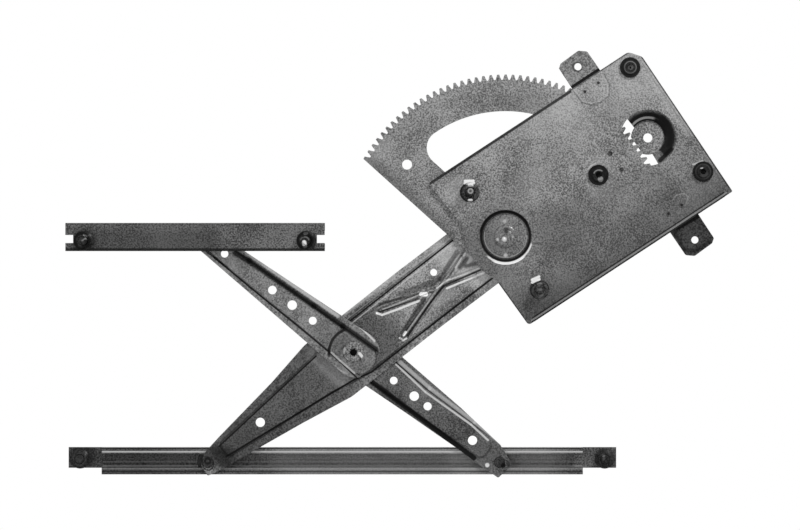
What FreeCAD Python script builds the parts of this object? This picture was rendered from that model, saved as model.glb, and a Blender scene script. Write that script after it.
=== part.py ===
import FreeCAD, Part
import math
import os
import re

import Sketcher

# Crossed-arm window regulator, seen as it hangs in the door: X to the right, Z up, Y away from the viewer.
# A toothed sector turns the lift arm about the main pivot on the back plate. The cross arm is pinned to the
# middle of the lift arm: its upper roller stays in the guide channel, and its lower roller and the lift arm's
# roller carry the sash channel that holds the glass. All places below are measured from the main pivot, with
# Y = 0 at the front face of the back plate. The finished pieces are then moved so that the bolt hole of the
# upper mount tab is the origin.

SIZES = {
    # Linkage
    "half_arm": 172.2,
    "roller_reach": 165.7,
    "rest_angle": 37.2,
    "plate_tilt": 33.25,
    # Sheet thicknesses
    "plate_sheet": 1.8,
    "sector_sheet": 2.8,
    "arm_sheet": 1.8,
    "tab_sheet": 1.6,
    "guide_sheet": 1.6,
    "sash_sheet": 1.2,
    # Steps and clearances in depth
    "sector_gap": 2.0,
    "arm_gap": 0.4,
    "arm_rise": 2.6,
    "foot_rise": 2.4,
    "sash_gap": 1.4,
    "channel_depth": 10.0,
    "running_gap": 0.05,
    "side_gap": 0.2,
    "edge_break": 0.6,
    "cut_past": 12.0,
    # Toothed sector and the pinion it meets
    "gear_module": 2.1167,
    "full_circle_teeth": 136.0,
    "pinion_teeth": 12.0,
    "pinion_bearing": 34.65,
    "sector_first_angle": 151.4,
    "sector_teeth": 50.0,
    "pressure_angle": 20.0,
    "root_depth": 1.25,
    "root_round": 0.7,
    "tooth_over": 0.6,
    "first_gap": 0.72,
    "sector_hub_radius": 34.0,
    "window_outer_radius": 113.1,
    "window_inner_radius": 56.0,
    "window_corner_radius": 16.0,
    "window_web": 40.5,
    "lock_hole_radius": 4.5,
    "lock_hole_reach": 109.9,
    "lock_hole_angle": 143.9,
    # Back plate, in its own tilted frame
    "plate_left": 26.6,
    "plate_right": 192.6,
    "plate_half": 78.4,
    "pivot_bulge": 35.5,
    "plate_corner": 3.0,
    "flange_height": 6.0,
    "flange_left_inset": 6.0,
    "flange_right_inset": 8.0,
    "bead_inner": 19.4,
    "bead_outer": 23.5,
    "bead_depth": 1.2,
    "bead_rise": 0.8,
    "cup_mouth_radius": 25.3,
    "cup_floor_radius": 14.4,
    "cup_depth": 10.0,
    "cup_hole_radius": 4.15,
    "cup_slot_margin": 6.4,
    "cup_slot_wall": 3.0,
    "cup_floor_rim": 0.8,
    "cup_floor_margin": -1.4,
    "dimple_x": 120.4,
    "dimple_upper": 10.4,
    "dimple_lower": -7.0,
    "dimple_radius": 2.4,
    "dimple_rise": 1.7,
    "dimple_wall": 0.9,
    # Motor mount bushes
    "bush_one_x": 177.4,
    "bush_one_z": 65.7,
    "bush_two_x": 180.9,
    "bush_two_z": -48.9,
    "bush_three_x": 100.3,
    "bush_three_z": 0.3,
    "bush_radius": 9.2,
    "bush_neck_radius": 6.2,
    "bush_bore_radius": 2.5,
    "bush_height": 4.2,
    "bush_neck_height": 1.6,
    "bush_clinch": 0.5,
    "bush_clinch_rise": 0.8,
    # Mount tabs
    "tab_width": 30.6,
    "tab_end": 12.0,
    "tab_hole_radius": 3.25,
    "tab_x": 138.6,
    "lower_tab_x": 141.1,
    "tab_rivet_half": 7.2,
    "tab_rivet_radius": 1.7,
    "tab_rivet_head": 2.5,
    "tab_rivet_rise": 0.5,
    "upper_tab_out": 13.7,
    "upper_tab_in": 16.0,
    "lower_tab_out": 18.0,
    "lower_tab_in": 21.0,
    "tab_rivet_in": 8.6,
    "lower_rivet_in": 14.9,
    # Studs and flange nuts
    "stud_radius": 4.0,
    "stud_lead": 0.8,
    "thread_radius": 3.6,
    "stud_neck_radius": 4.3,
    "stud_head_radius": 6.5,
    "plate_stud_head": 1.0,
    "channel_stud_head": 1.5,
    "stud_out": 15.0,
    "sash_stud_out": 11.0,
    "nut_flats": 13.0,
    "nut_flange_radius": 8.95,
    "nut_flange_height": 2.6,
    "nut_height": 8.0,
    "nut_chamfer": 1.3,
    "nut_chamfer_in": 0.3,
    "nut_chamfer_out": 2.0,
    "upper_stud_x": -5.3,
    "upper_stud_z": 50.8,
    "lower_stud_x": -0.7,
    "lower_stud_z": -56.8,
    # Main pivot
    "pivot_radius": 5.95,
    "pivot_head_radius": 10.4,
    "pivot_boss_radius": 8.0,
    "pivot_head": 1.2,
    "pivot_boss": 1.2,
    "pivot_rear_head": 1.8,
    "pivot_rear_slope": 1.5,
    "pivot_washer_radius": 12.5,
    # Rivets that join the sector to the lift arm
    "sector_rivet_circle": 17.2,
    "sector_rivet_radius": 2.5,
    "sector_rivet_head": 4.0,
    "sector_rivet_rise": 0.8,
    # Lift arm
    "arm_left_half": 33.6,
    "arm_right_half": 29.9,
    "arm_back": 30.0,
    "lip_width": 7.0,
    "foot_half": 8.4,
    "ramp_length": 9.0,
    "ramp_end": 7.5,
    "ramp_mitre": 0.4,
    "rib_half": 5.2,
    "rib_depth": 1.2,
    "rib_wall": 1.2,
    "rib_slope": 55.0,
    "ridge_half": 1.9,
    "ridge_slope": 45.0,
    "fold_slope": 42.0,
    "fold_shift": 1.0,
    "lift_slot_reach": 71.3,
    "lift_slot_rise": 13.2,
    "lift_slot_radius": 3.1,
    "lift_end_back": 60.0,
    "lift_end_radius": 4.2,
    # Cross arm
    "cross_half": 22.7,
    "cross_tip_half": 11.2,
    "cross_boss_radius": 22.3,
    "cross_boss_half": 14.6,
    "cross_boss_rise": 1.2,
    "cross_boss_back": 19.3,
    "cross_boss_room": 0.6,
    "upper_hole_one": 46.2,
    "upper_hole_one_radius": 3.6,
    "upper_hole_two": 69.5,
    "upper_hole_two_radius": 4.3,
    "upper_hole_three": 92.0,
    "upper_hole_three_radius": 3.9,
    "upper_hole_four": 146.1,
    "upper_hole_four_radius": 3.4,
    "lower_hole_rise": 1.0,
    "lower_hole_one": 44.8,
    "lower_hole_one_radius": 3.5,
    "lower_hole_two": 68.1,
    "lower_hole_two_radius": 4.3,
    "lower_hole_three": 83.3,
    "lower_hole_three_radius": 3.7,
    "lower_hole_four": 134.3,
    "lower_hole_four_radius": 4.2,
    "hub_radius": 14.0,
    "hub_neck_radius": 8.0,
    "hub_rim_radius": 9.8,
    "hub_rim": 0.8,
    "hub_hole_radius": 3.6,
    # Rollers and their studs
    "roller_radius": 9.7,
    "roller_width": 8.0,
    "roller_bore": 4.05,
    "roller_start": 0.6,
    "roller_edge": 0.8,
    "collar_radius": 5.0,
    "stud_cap_radius": 6.0,
    "stud_cap": 1.0,
    "stud_button_radius": 5.0,
    # Guide channel, bolted to the door
    "guide_tall": 25.3,
    "guide_left": -396.1,
    "guide_length": 233.2,
    "guide_drop": 0.7,
    "guide_slot": 12.0,
    "guide_notch_depth": 7.0,
    "guide_notch_tall": 7.2,
    "guide_stud_inset": 16.4,
    "guide_stud_drop": 3.3,
    "channel_round": 0.9,
    # Sash channel, bolted to the glass
    "sash_tall": 24.3,
    "sash_left": -396.1,
    "sash_length": 497.2,
    "sash_raise": 0.9,
    "sash_slot": 12.0,
    "sash_tab": 30.7,
    "sash_tab_tall": 18.8,
    "sash_stud_inset": 10.4,
    "sash_stud_drop": 10.6,
    "sash_bead_half": 2.0,
    "sash_bead_rise": 0.8,
    "sash_bead_drop": 3.4,
    "sash_bead_inset": 10.0,
    "sash_bead_wall": 0.6,
}

# Levels along Y, from the front face of the back plate towards the rear.
SECTOR_FRONT = "plate_sheet + sector_gap"
SECTOR_REAR = "plate_sheet + sector_gap + sector_sheet"
LIFT_WEB_REAR = SECTOR_REAR + " + arm_sheet"
LIFT_LIP_FRONT = SECTOR_REAR + " + arm_rise"
LIFT_LIP_REAR = LIFT_LIP_FRONT + " + arm_sheet"
UPPER_WEB_REAR = SECTOR_REAR + " - arm_gap"
UPPER_WEB_FRONT = UPPER_WEB_REAR + " - arm_sheet"
UPPER_LIP_FRONT = UPPER_WEB_FRONT + " - arm_rise"
UPPER_BOSS_FRONT = UPPER_WEB_FRONT + " - cross_boss_rise"
LOWER_WEB_FRONT = LIFT_LIP_REAR + " + arm_gap"
LOWER_WEB_REAR = LOWER_WEB_FRONT + " + arm_sheet"
FOOT_FRONT = LOWER_WEB_FRONT + " + foot_rise"
FOOT_REAR = FOOT_FRONT + " + arm_sheet"
SASH_FRONT = FOOT_REAR + " + sash_gap"
SASH_WEB_FRONT = SASH_FRONT + " + sash_sheet + channel_depth"
SASH_REAR = SASH_WEB_FRONT + " + sash_sheet"
GUIDE_REAR = UPPER_LIP_FRONT + " - arm_gap"
GUIDE_WEB_REAR = GUIDE_REAR + " - guide_sheet - channel_depth"
GUIDE_FRONT = GUIDE_WEB_REAR + " - guide_sheet"

# Places in the plane of the door, from the main pivot.
CENTRE_X = "-half_arm * cos(rest_angle)"
CENTRE_Z = "-half_arm * sin(rest_angle)"
LIFT_ROLLER_X = "-(half_arm + roller_reach) * cos(rest_angle)"
CROSS_ROLLER_X = "-(half_arm - roller_reach) * cos(rest_angle)"
ROLLER_Z = "-(half_arm + roller_reach) * sin(rest_angle)"
GUIDE_ROLLER_X = "-2 * half_arm * cos(rest_angle)"
PINION_REACH = "gear_module * (full_circle_teeth + pinion_teeth) / 2"
PINION_X = PINION_REACH + " * cos(pinion_bearing - plate_tilt)"
PINION_Z = PINION_REACH + " * sin(pinion_bearing - plate_tilt)"
UPPER_HOLE_Z = "plate_half + upper_tab_out"
LOWER_HOLE_Z = "-(plate_half + lower_tab_out)"
SASH_Z = ROLLER_Z + " + sash_raise"


def plate_place(x, z):
    """Turns a place in the back plate's tilted frame into door coordinates."""
    across = f"({x}) * cos(plate_tilt) - ({z}) * sin(plate_tilt)"
    up = f"({x}) * sin(plate_tilt) + ({z}) * cos(plate_tilt)"
    return across, up


ORIGIN_X, ORIGIN_Z = plate_place("tab_x", UPPER_HOLE_Z)
ORIGIN_Y = "plate_sheet + tab_sheet / 2"

document = FreeCAD.newDocument("window_regulator")
sheet = document.addObject("Spreadsheet::Sheet", "Sizes")
for row, (alias, amount) in enumerate(SIZES.items(), 1):
    sheet.set(f"A{row}", alias.replace("_", " "))
    sheet.set(f"B{row}", str(amount))
    sheet.setAlias(f"B{row}", alias)
document.recompute()

finished = []
SMALLEST_ROUND = 0.4


def number(expression):
    """The value of an expression in the sheet's names."""
    return float(sheet.evalExpression(expression))


def bind(item, prop, expression):
    """Ties a property to an expression in the sheet's names."""
    named = re.sub(
        r"[a-z_]+", lambda m: "Sizes." + m.group() if m.group() in SIZES else m.group(), expression
    )
    item.setExpression(prop, named)


def new_body(label, x="0", z="0", turn="0", y="0"):
    """An empty body at a place in the door, turned about Y."""
    body = document.addObject("PartDesign::Body", label)
    body.Label = label
    first_turn = FreeCAD.Rotation(FreeCAD.Vector(0, 1, 0), 30)
    body.Placement = FreeCAD.Placement(FreeCAD.Vector(0, 0, 0), first_turn)
    bind(body, "Placement.Base.x", f"{x} - ({ORIGIN_X})")
    bind(body, "Placement.Base.y", f"{y} - ({ORIGIN_Y})")
    bind(body, "Placement.Base.z", f"{z} - ({ORIGIN_Z})")
    bind(body, "Placement.Rotation.Angle", turn)
    return body


def new_sketch(body, name, role, level="0", shift="0"):
    """A sketch on one of the body's own planes.

    Level runs along the plane's axis, and shift along the sketch's X."""
    sketch = body.newObject("Sketcher::SketchObject", name)
    plane = [feature for feature in body.Origin.OriginFeatures if feature.Role == role][0]
    sketch.AttachmentSupport = [(plane, "")]
    sketch.MapMode = "FlatFace"
    depth = f"-({level})" if role == "XZ_Plane" else level
    bind(sketch, "AttachmentOffset.Base.z", depth)
    bind(sketch, "AttachmentOffset.Base.x", shift)
    return sketch


def fix_point(sketch, item, end, x, y):
    """Ties a point of the sketch to two expressions."""
    for kind, axis, expression in (("DistanceX", -2, x), ("DistanceY", -1, y)):
        amount = number(expression)
        if abs(amount) < 1e-9:
            sketch.addConstraint(Sketcher.Constraint("PointOnObject", item, end, axis))
        else:
            index = sketch.addConstraint(Sketcher.Constraint(kind, -1, 1, item, end, amount))
            bind(sketch, f"Constraints[{index}]", expression)


def add_circle(sketch, x, y, radius):
    """A hole or disc whose place and radius are expressions."""
    centre = FreeCAD.Vector(number(x), number(y), 0)
    item = sketch.addGeometry(Part.Circle(centre, FreeCAD.Vector(0, 0, 1), number(radius)))
    index = sketch.addConstraint(Sketcher.Constraint("Radius", item, number(radius)))
    bind(sketch, f"Constraints[{index}]", radius)
    fix_point(sketch, item, 3, x, y)


def add_polygon(sketch, corners):
    """A closed outline whose corners are pairs of expressions."""
    places = [FreeCAD.Vector(number(x), number(y), 0) for x, y in corners]
    items = []
    for start, stop in zip(places, places[1:] + places[:1]):
        items.append(sketch.addGeometry(Part.LineSegment(start, stop)))
    for item, following in zip(items, items[1:] + items[:1]):
        sketch.addConstraint(Sketcher.Constraint("Coincident", item, 2, following, 1))
    for item, (x, y) in zip(items, corners):
        fix_point(sketch, item, 1, x, y)


def add_edges(sketch, edges):
    """Adds straight (start, stop) and round (start, middle, stop) edges as they are."""
    for edge in edges:
        points = [FreeCAD.Vector(x, y, 0) for x, y in edge]
        if len(points) == 2:
            sketch.addGeometry(Part.LineSegment(*points))
        else:
            sketch.addGeometry(Part.ArcOfCircle(*points))


def polar(radius, angle):
    """A point at a radius and an angle in degrees."""
    return radius * math.cos(math.radians(angle)), radius * math.sin(math.radians(angle))


def arc(radius, first, last, centre=(0.0, 0.0)):
    """A round edge about a centre, from one angle to another."""
    places = [polar(radius, angle) for angle in (first, (first + last) / 2, last)]
    return [(x + centre[0], y + centre[1]) for x, y in places]


def rounded(corners):
    """The edges of a closed outline whose corners are (x, y, radius)."""
    pieces = []
    count = len(corners)
    for index, (x, y, radius) in enumerate(corners):
        before = corners[index - 1]
        after = corners[(index + 1) % count]
        back = (before[0] - x, before[1] - y)
        ahead = (after[0] - x, after[1] - y)
        back_length = math.hypot(*back)
        ahead_length = math.hypot(*ahead)
        back = (back[0] / back_length, back[1] / back_length)
        ahead = (ahead[0] / ahead_length, ahead[1] / ahead_length)
        half = math.acos(max(-1.0, min(1.0, back[0] * ahead[0] + back[1] * ahead[1]))) / 2
        reach = min(radius / math.tan(half), 0.49 * min(back_length, ahead_length))
        radius = reach * math.tan(half)
        middle = (back[0] + ahead[0], back[1] + ahead[1])
        length = math.hypot(*middle)
        inward = radius / math.sin(half) - radius
        start = (x + back[0] * reach, y + back[1] * reach)
        stop = (x + ahead[0] * reach, y + ahead[1] * reach)
        crown = (x + middle[0] / length * inward, y + middle[1] / length * inward)
        pieces.append((start, crown, stop))
    edges = []
    for piece, following in zip(pieces, pieces[1:] + pieces[:1]):
        edges.append(piece)
        edges.append((piece[2], following[0]))
    return edges


def inset(corners, amount):
    """The same outline moved inwards by an amount, its rounds kept parallel."""
    count = len(corners)
    area = 0.0
    for index in range(count):
        x, y, _ = corners[index]
        following = corners[(index + 1) % count]
        area += x * following[1] - following[0] * y
    side = 1.0 if area > 0 else -1.0
    lines = []
    for index in range(count):
        x, y, _ = corners[index]
        following = corners[(index + 1) % count]
        length = math.hypot(following[0] - x, following[1] - y)
        along = ((following[0] - x) / length, (following[1] - y) / length)
        normal = (-along[1] * side, along[0] * side)
        lines.append((x + normal[0] * amount, y + normal[1] * amount, along))
    moved = []
    for index in range(count):
        ax, ay, first = lines[index - 1]
        bx, by, second = lines[index]
        cross = first[0] * second[1] - first[1] * second[0]
        if abs(cross) < 1e-9:
            moved.append((bx, by, corners[index][2]))
            continue
        reach = ((bx - ax) * second[1] - (by - ay) * second[0]) / cross
        turn = amount if cross * side > 0 else -amount
        radius = max(corners[index][2] - turn, SMALLEST_ROUND)
        moved.append((ax + first[0] * reach, ay + first[1] * reach, radius))
    return moved


def pad(body, sketch, length, name, slope=None):
    """Thickens a face-on sketch towards the rear. A slope above zero widens it on the way."""
    feature = body.newObject("PartDesign::Pad", name)
    feature.Profile = sketch
    feature.Reversed = True
    bind(feature, "Length", length)
    if slope:
        bind(feature, "TaperAngle", slope)
    return feature


def pocket(body, sketch, length, name, slope=None):
    """Cuts a face-on sketch towards the rear. A slope above zero widens it on the way."""
    feature = body.newObject("PartDesign::Pocket", name)
    feature.Profile = sketch
    bind(feature, "Length", length)
    if slope:
        bind(feature, "TaperAngle", slope)
    return feature


def turned(body, name, corners, shift="0", level="0", cut=False):
    """Turns an outline of (radius, depth) about an axis along Y."""
    sketch = new_sketch(body, name + "_profile", "XY_Plane", level, shift)
    add_polygon(sketch, corners)
    kind = "PartDesign::Groove" if cut else "PartDesign::Revolution"
    feature = body.newObject(kind, name)
    feature.Profile = sketch
    feature.ReferenceAxis = (sketch, ["V_Axis"])
    feature.Angle = 360
    return feature


def edges_where(feature, test):
    """Names of the edges whose every sample point passes a test."""
    names = []
    for index, edge in enumerate(feature.Shape.Edges, 1):
        first, last = edge.ParameterRange
        points = [edge.valueAt(first + (last - first) * step / 4) for step in range(5)]
        if all(test(point) for point in points):
            names.append(f"Edge{index}")
    return names


def round_edges(body, feature, test, radius, name):
    """Rounds the edges of a feature that pass a test."""
    document.recompute()
    names = edges_where(feature, test)
    if not names:
        raise RuntimeError(f"{body.Label}: no edge to round for {name}")
    fillet = body.newObject("PartDesign::Fillet", name)
    fillet.Base = (feature, names)
    bind(fillet, "Radius", radius)
    return fillet


def face_plate(body, name, edges, front, thickness, slope=None):
    """A flat plate from ready edges."""
    sketch = new_sketch(body, name + "_outline", "XZ_Plane", front)
    add_edges(sketch, edges)
    return pad(body, sketch, thickness, name, slope)


def face_cut(body, name, edges, front, depth, slope=None):
    """A cut from ready edges."""
    sketch = new_sketch(body, name + "_outline", "XZ_Plane", front)
    add_edges(sketch, edges)
    return pocket(body, sketch, depth, name, slope)


def fold_inset():
    """How far a hollow's rim lies inside the fold's outline, where the sheet keeps its thickness."""
    slope = math.radians(number("fold_slope"))
    return number("arm_sheet") * (1 - math.sin(slope)) / math.cos(slope)


def drill(body, name, holes, front, depth):
    """Round holes at (x, z, radius) expressions."""
    sketch = new_sketch(body, name + "_circles", "XZ_Plane", front)
    for x, z, radius in holes:
        add_circle(sketch, x, z, radius)
    return pocket(body, sketch, depth, name)


def keep(item):
    """Marks an object as a finished piece."""
    finished.append(item)
    return item


def group(label, bodies):
    """Puts identical fasteners together as one piece."""
    compound = document.addObject("Part::Compound", label)
    compound.Label = label
    compound.Links = bodies
    return keep(compound)


# Toothed sector: a fan-shaped plate with one large window, teeth cut round its rim by a pattern.
def make_sector():
    pitch_radius = number("gear_module * full_circle_teeth / 2")
    tip = pitch_radius + number("gear_module")
    root = number("gear_module * (full_circle_teeth / 2 - root_depth)")
    pitch_angle = 360 / number("full_circle_teeth")
    first = number("sector_first_angle")
    last = first - number("sector_teeth + 2 * first_gap - 1") * pitch_angle
    hub = number("sector_hub_radius")
    spread = math.degrees(math.acos(hub / tip))
    body = new_body("sector_gear")
    left_touch = first + spread
    right_touch = last - spread + 360
    outline = [
        arc(tip, first, last),
        (polar(tip, last), polar(hub, right_touch)),
        arc(hub, right_touch, left_touch),
        (polar(hub, left_touch), polar(tip, first)),
    ]
    face_plate(body, "fan", outline, SECTOR_FRONT, "sector_sheet")

    # The window's sides run parallel to the fan's sides, a web width inside them.
    outer = number("window_outer_radius")
    inner = number("window_inner_radius")
    corner = number("window_corner_radius")
    past = number("window_web") - hub
    centre_line = math.sqrt((outer - corner) ** 2 - (past + corner) ** 2)
    swing = math.degrees(math.atan2(past + corner, centre_line))
    side_left = left_touch - 90
    side_right = right_touch + 90 - 360
    left_corner = polar(outer - corner, side_left - swing)
    right_corner = polar(outer - corner, side_right + swing)
    low_swing = math.degrees(math.asin(past / inner))
    left_low = side_left - low_swing
    right_low = side_right + low_swing
    window = [
        arc(outer, side_left - swing, side_right + swing),
        arc(corner, side_right + swing, side_right - 90, right_corner),
        (arc(corner, 0, side_right - 90, right_corner)[2], polar(inner, right_low)),
        arc(inner, right_low, left_low),
        (polar(inner, left_low), arc(corner, 0, side_left + 90, left_corner)[2]),
        arc(corner, side_left + 90, side_left - swing, left_corner),
    ]
    face_cut(body, "window", window, SECTOR_FRONT, "sector_sheet")
    lock_x = "lock_hole_reach * cos(lock_hole_angle)"
    lock_z = "lock_hole_reach * sin(lock_hole_angle)"
    holes = [("0", "0", "pivot_radius + running_gap"), (lock_x, lock_z, "lock_hole_radius")]
    for turn in (0, 120, 240):
        angle = f"(180 + rest_angle + {turn})"
        holes.append(
            (
                f"sector_rivet_circle * cos{angle}",
                f"sector_rivet_circle * sin{angle}",
                "sector_rivet_radius",
            )
        )
    drill(body, "holes", holes, SECTOR_FRONT, "sector_sheet")

    # One gap between teeth, with straight flanks at the pressure angle and a rounded root.
    quarter = math.pi * number("gear_module") / 4
    flare = math.tan(math.radians(number("pressure_angle")))
    middle = first - number("first_gap") * pitch_angle
    over = tip + number("tooth_over")
    flank_end = root + number("root_round")
    wide = quarter + (over - pitch_radius) * flare
    narrow = quarter - (pitch_radius - flank_end) * flare

    def across(radius, side):
        x, y = polar(radius, middle)
        nx, ny = polar(side, middle + 90)
        return x + nx, y + ny

    gap = [
        (across(over, wide), across(flank_end, narrow)),
        (across(flank_end, narrow), across(root, 0.0), across(flank_end, -narrow)),
        (across(flank_end, -narrow), across(over, -wide)),
        (across(over, -wide), across(over, wide)),
    ]
    tooth_gap = face_cut(body, "tooth_gap", gap, SECTOR_FRONT, "sector_sheet")
    pattern = body.newObject("PartDesign::PolarPattern", "teeth")
    pattern.Originals = [tooth_gap]
    axis = [feature for feature in body.Origin.OriginFeatures if feature.Role == "Y_Axis"][0]
    pattern.Axis = (axis, [""])
    bind(pattern, "Occurrences", "sector_teeth")
    bind(pattern, "Angle", "(sector_teeth - 1) * 360 / full_circle_teeth")
    body.Tip = pattern
    return keep(body)


# Where each tab's two rivets stand about their middle, along and across the plate
TAB_RIVETS = [("tab_x", "plate_half - tab_rivet_in"), ("lower_tab_x", "lower_rivet_in - plate_half")]


# Back plate: flat, with a folded lower edge, a round bead about the pivot and a drawn cup for the pinion.
def make_back_plate():
    body = new_body("back_plate", turn="-plate_tilt")
    left = -number("plate_left")
    right = number("plate_right")
    half = number("plate_half")
    bulge = -number("pivot_bulge")
    corner = number("plate_corner")
    outline = [
        (left - 5.4, half, corner),
        (left - 0.4, 27, 12),
        (bulge, 12, 20),
        (bulge, -12, 20),
        (left - 2, -30, 12),
        (left, -half, corner),
        (right + 0.9, -half, 1.2),
        (right - 0.7, half - 10.5, 2 * corner),
        (right - 9, half, 2 * corner),
    ]
    face_plate(body, "plate", rounded(outline), "0", "plate_sheet")
    flange = [
        ("flange_left_inset - plate_left", "-plate_half"),
        ("plate_right - flange_right_inset", "-plate_half"),
        ("plate_right - flange_right_inset", "plate_sheet - plate_half"),
        ("flange_left_inset - plate_left", "plate_sheet - plate_half"),
    ]
    sketch = new_sketch(body, "flange_outline", "XZ_Plane", "-flange_height")
    add_polygon(sketch, flange)
    flange_pad = pad(body, sketch, "flange_height + plate_sheet / 2", "flange")
    sheet_level = number("plate_sheet")

    def outer_bend(point):
        return abs(point.y - sheet_level) < 1e-4 and abs(point.z + half) < 1e-4

    round_edges(body, flange_pad, outer_bend, "plate_sheet - side_gap", "bend")

    # The cup for the pinion is drawn to the rear; its wall is as thick as the sheet.
    slope = math.hypot(number("cup_mouth_radius - cup_floor_radius"), number("cup_depth"))
    wall_out = f"plate_sheet * {slope:.6f} / cup_depth"
    run = "(cup_mouth_radius - cup_floor_radius) / cup_depth"
    turned(
        body,
        "cup_outside",
        [
            ("0", "plate_sheet / 2"),
            (f"cup_mouth_radius + {wall_out} - {run} * plate_sheet / 2", "plate_sheet / 2"),
            (f"cup_floor_radius + {wall_out} - {run} * plate_sheet", "cup_depth + plate_sheet"),
            ("0", "cup_depth + plate_sheet"),
        ],
        PINION_X,
        PINION_Z,
    )
    turned(
        body,
        "cup_inside",
        [
            ("0", "-side_gap"),
            (f"cup_mouth_radius + side_gap * {run}", "-side_gap"),
            ("cup_floor_radius", "cup_depth"),
            ("0", "cup_depth"),
        ],
        PINION_X,
        PINION_Z,
        cut=True,
    )
    cup_x = number(PINION_X)
    cup_z = number(PINION_Z)
    cup_radius = number("cup_mouth_radius + cup_slot_wall")
    slot_radius = number("gear_module * (full_circle_teeth / 2 + 1) + cup_slot_margin")
    reach = math.hypot(cup_x, cup_z)
    bearing = math.degrees(math.atan2(cup_z, cup_x))
    along = (reach**2 + slot_radius**2 - cup_radius**2) / (2 * reach)
    swing = math.degrees(math.acos(along / slot_radius))
    back = math.degrees(math.acos((reach - along) / cup_radius))
    slot = [
        arc(slot_radius, bearing - swing, bearing + swing),
        arc(cup_radius, bearing + 180 - back, bearing + 180 + back, (cup_x, cup_z)),
    ]
    face_cut(body, "sector_slot", slot, "plate_sheet", "sector_gap + sector_sheet + 2 * arm_gap")

    # Inside its mouth the cup is open from front to rear, down to a rim about its floor.
    mouth = number("cup_mouth_radius")
    rim = number("cup_floor_radius + cup_floor_rim")

    def meeting(radius, swing_radius):
        """Where a round about the pivot crosses a circle about the cup, as bearings from cup and pivot."""
        towards = (reach**2 + swing_radius**2 - radius**2) / (2 * reach)
        from_cup = math.degrees(math.acos((reach - towards) / radius))
        return from_cup, math.degrees(math.acos(towards / swing_radius))

    wide, wide_swing = meeting(mouth, slot_radius)
    narrow, narrow_swing = meeting(rim, slot_radius)
    back_way = bearing + 180
    window = [
        arc(mouth, back_way - wide, back_way + wide, (cup_x, cup_z)),
        arc(slot_radius, bearing - wide_swing, bearing - narrow_swing),
        arc(rim, back_way + narrow, back_way - narrow, (cup_x, cup_z)),
        arc(slot_radius, bearing + narrow_swing, bearing + wide_swing),
    ]
    face_cut(body, "cup_window", window, "-side_gap", "cup_depth + plate_sheet + 2 * side_gap")

    # The cup's floor stops short of the teeth, so that light shows between them.
    floor_cut = number("gear_module * (full_circle_teeth / 2 + 1) + cup_floor_margin")
    side, side_swing = meeting(mouth, floor_cut)
    tooth_window = [
        arc(mouth, back_way - side, back_way + side, (cup_x, cup_z)),
        arc(floor_cut, bearing - side_swing, bearing + side_swing),
    ]
    face_cut(body, "cup_tooth_window", tooth_window, "-side_gap", "cup_depth + plate_sheet + 2 * side_gap")

    # Round bead about the pivot, pressed to the rear.
    turned(
        body,
        "bead_rear",
        [
            ("bead_inner - bead_rise", "plate_sheet / 2"),
            ("bead_outer + bead_rise", "plate_sheet / 2"),
            ("bead_outer", "plate_sheet + bead_rise"),
            ("bead_inner", "plate_sheet + bead_rise"),
        ],
    )
    turned(
        body,
        "bead",
        [
            ("bead_inner", "0"),
            ("bead_inner + bead_depth", "bead_depth"),
            ("bead_outer - bead_depth", "bead_depth"),
            ("bead_outer", "0"),
        ],
        cut=True,
    )

    # Two dimples bear on the sector beside the mesh.
    sketch = new_sketch(body, "dimple_discs", "XZ_Plane", "plate_sheet / 2")
    for height in ("dimple_upper", "dimple_lower"):
        add_circle(sketch, "dimple_x", height, "dimple_radius")
    pad(body, sketch, "plate_sheet / 2 + dimple_rise", "dimples")
    heights = ("dimple_upper", "dimple_lower")
    dimples = [("dimple_x", height, "dimple_radius - dimple_wall") for height in heights]
    drill(body, "dimple_hollows", dimples, "0", "dimple_rise")
    holes = [
        ("0", "0", "pivot_radius"),
        ("upper_stud_x", "upper_stud_z", "stud_neck_radius"),
        ("lower_stud_x", "lower_stud_z", "stud_neck_radius"),
    ]
    for name in ("one", "two", "three"):
        holes.append((f"bush_{name}_x", f"bush_{name}_z", "bush_neck_radius"))
    for middle, height in TAB_RIVETS:
        for side in ("-", "+"):
            holes.append((f"{middle} {side} tab_rivet_half", height, "tab_rivet_radius"))
    drill(body, "plate_holes", holes, "0", "plate_sheet")
    drill(body, "cup_hole", [(PINION_X, PINION_Z, "cup_hole_radius")], "cup_depth", "plate_sheet")
    return keep(body)


# Mount tabs: clipped strips riveted behind the back plate, each with one bolt hole.
def make_tab(label, middle, hole_z, inner, rivet, turn):
    x, z = plate_place(middle, hole_z)
    body = new_body(label, x, z, turn)
    half = number("tab_width / 2")
    end = number("tab_end")
    outline = [
        (-half, -number(inner), 2.0),
        (-half, end - 4, 1.5),
        (-half + 3.8, end - 1, 2.0),
        (half - 7.2, end, 3.0),
        (half - 0.8, end - 5, 3.0),
        (half, -number(inner), 2.0),
    ]
    face_plate(body, "strip", rounded(outline), "plate_sheet", "tab_sheet")
    holes = [("0", "0", "tab_hole_radius")]
    for side in ("-", ""):
        holes.append((f"{side}tab_rivet_half", f"-({rivet})", "tab_rivet_radius"))
    drill(body, "strip_holes", holes, "plate_sheet", "tab_sheet")
    return keep(body)


def make_tab_rivets():
    bodies = []
    for (middle, height), word in zip(TAB_RIVETS, ("upper", "lower")):
        for side in ("-", "+"):
            x, z = plate_place(f"{middle} {side} tab_rivet_half", height)
            body = new_body(f"{word}_tab_rivet", x, z)
            turned(
                body,
                "rivet",
                [
                    ("0", "-tab_rivet_rise"),
                    ("tab_rivet_head - edge_break", "-tab_rivet_rise"),
                    ("tab_rivet_head", "0"),
                    ("tab_rivet_radius", "0"),
                    ("tab_rivet_radius", "plate_sheet + tab_sheet"),
                    ("0", "plate_sheet + tab_sheet"),
                ],
            )
            bodies.append(body)
    return group("mount_tab_rivets", bodies)


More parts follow.
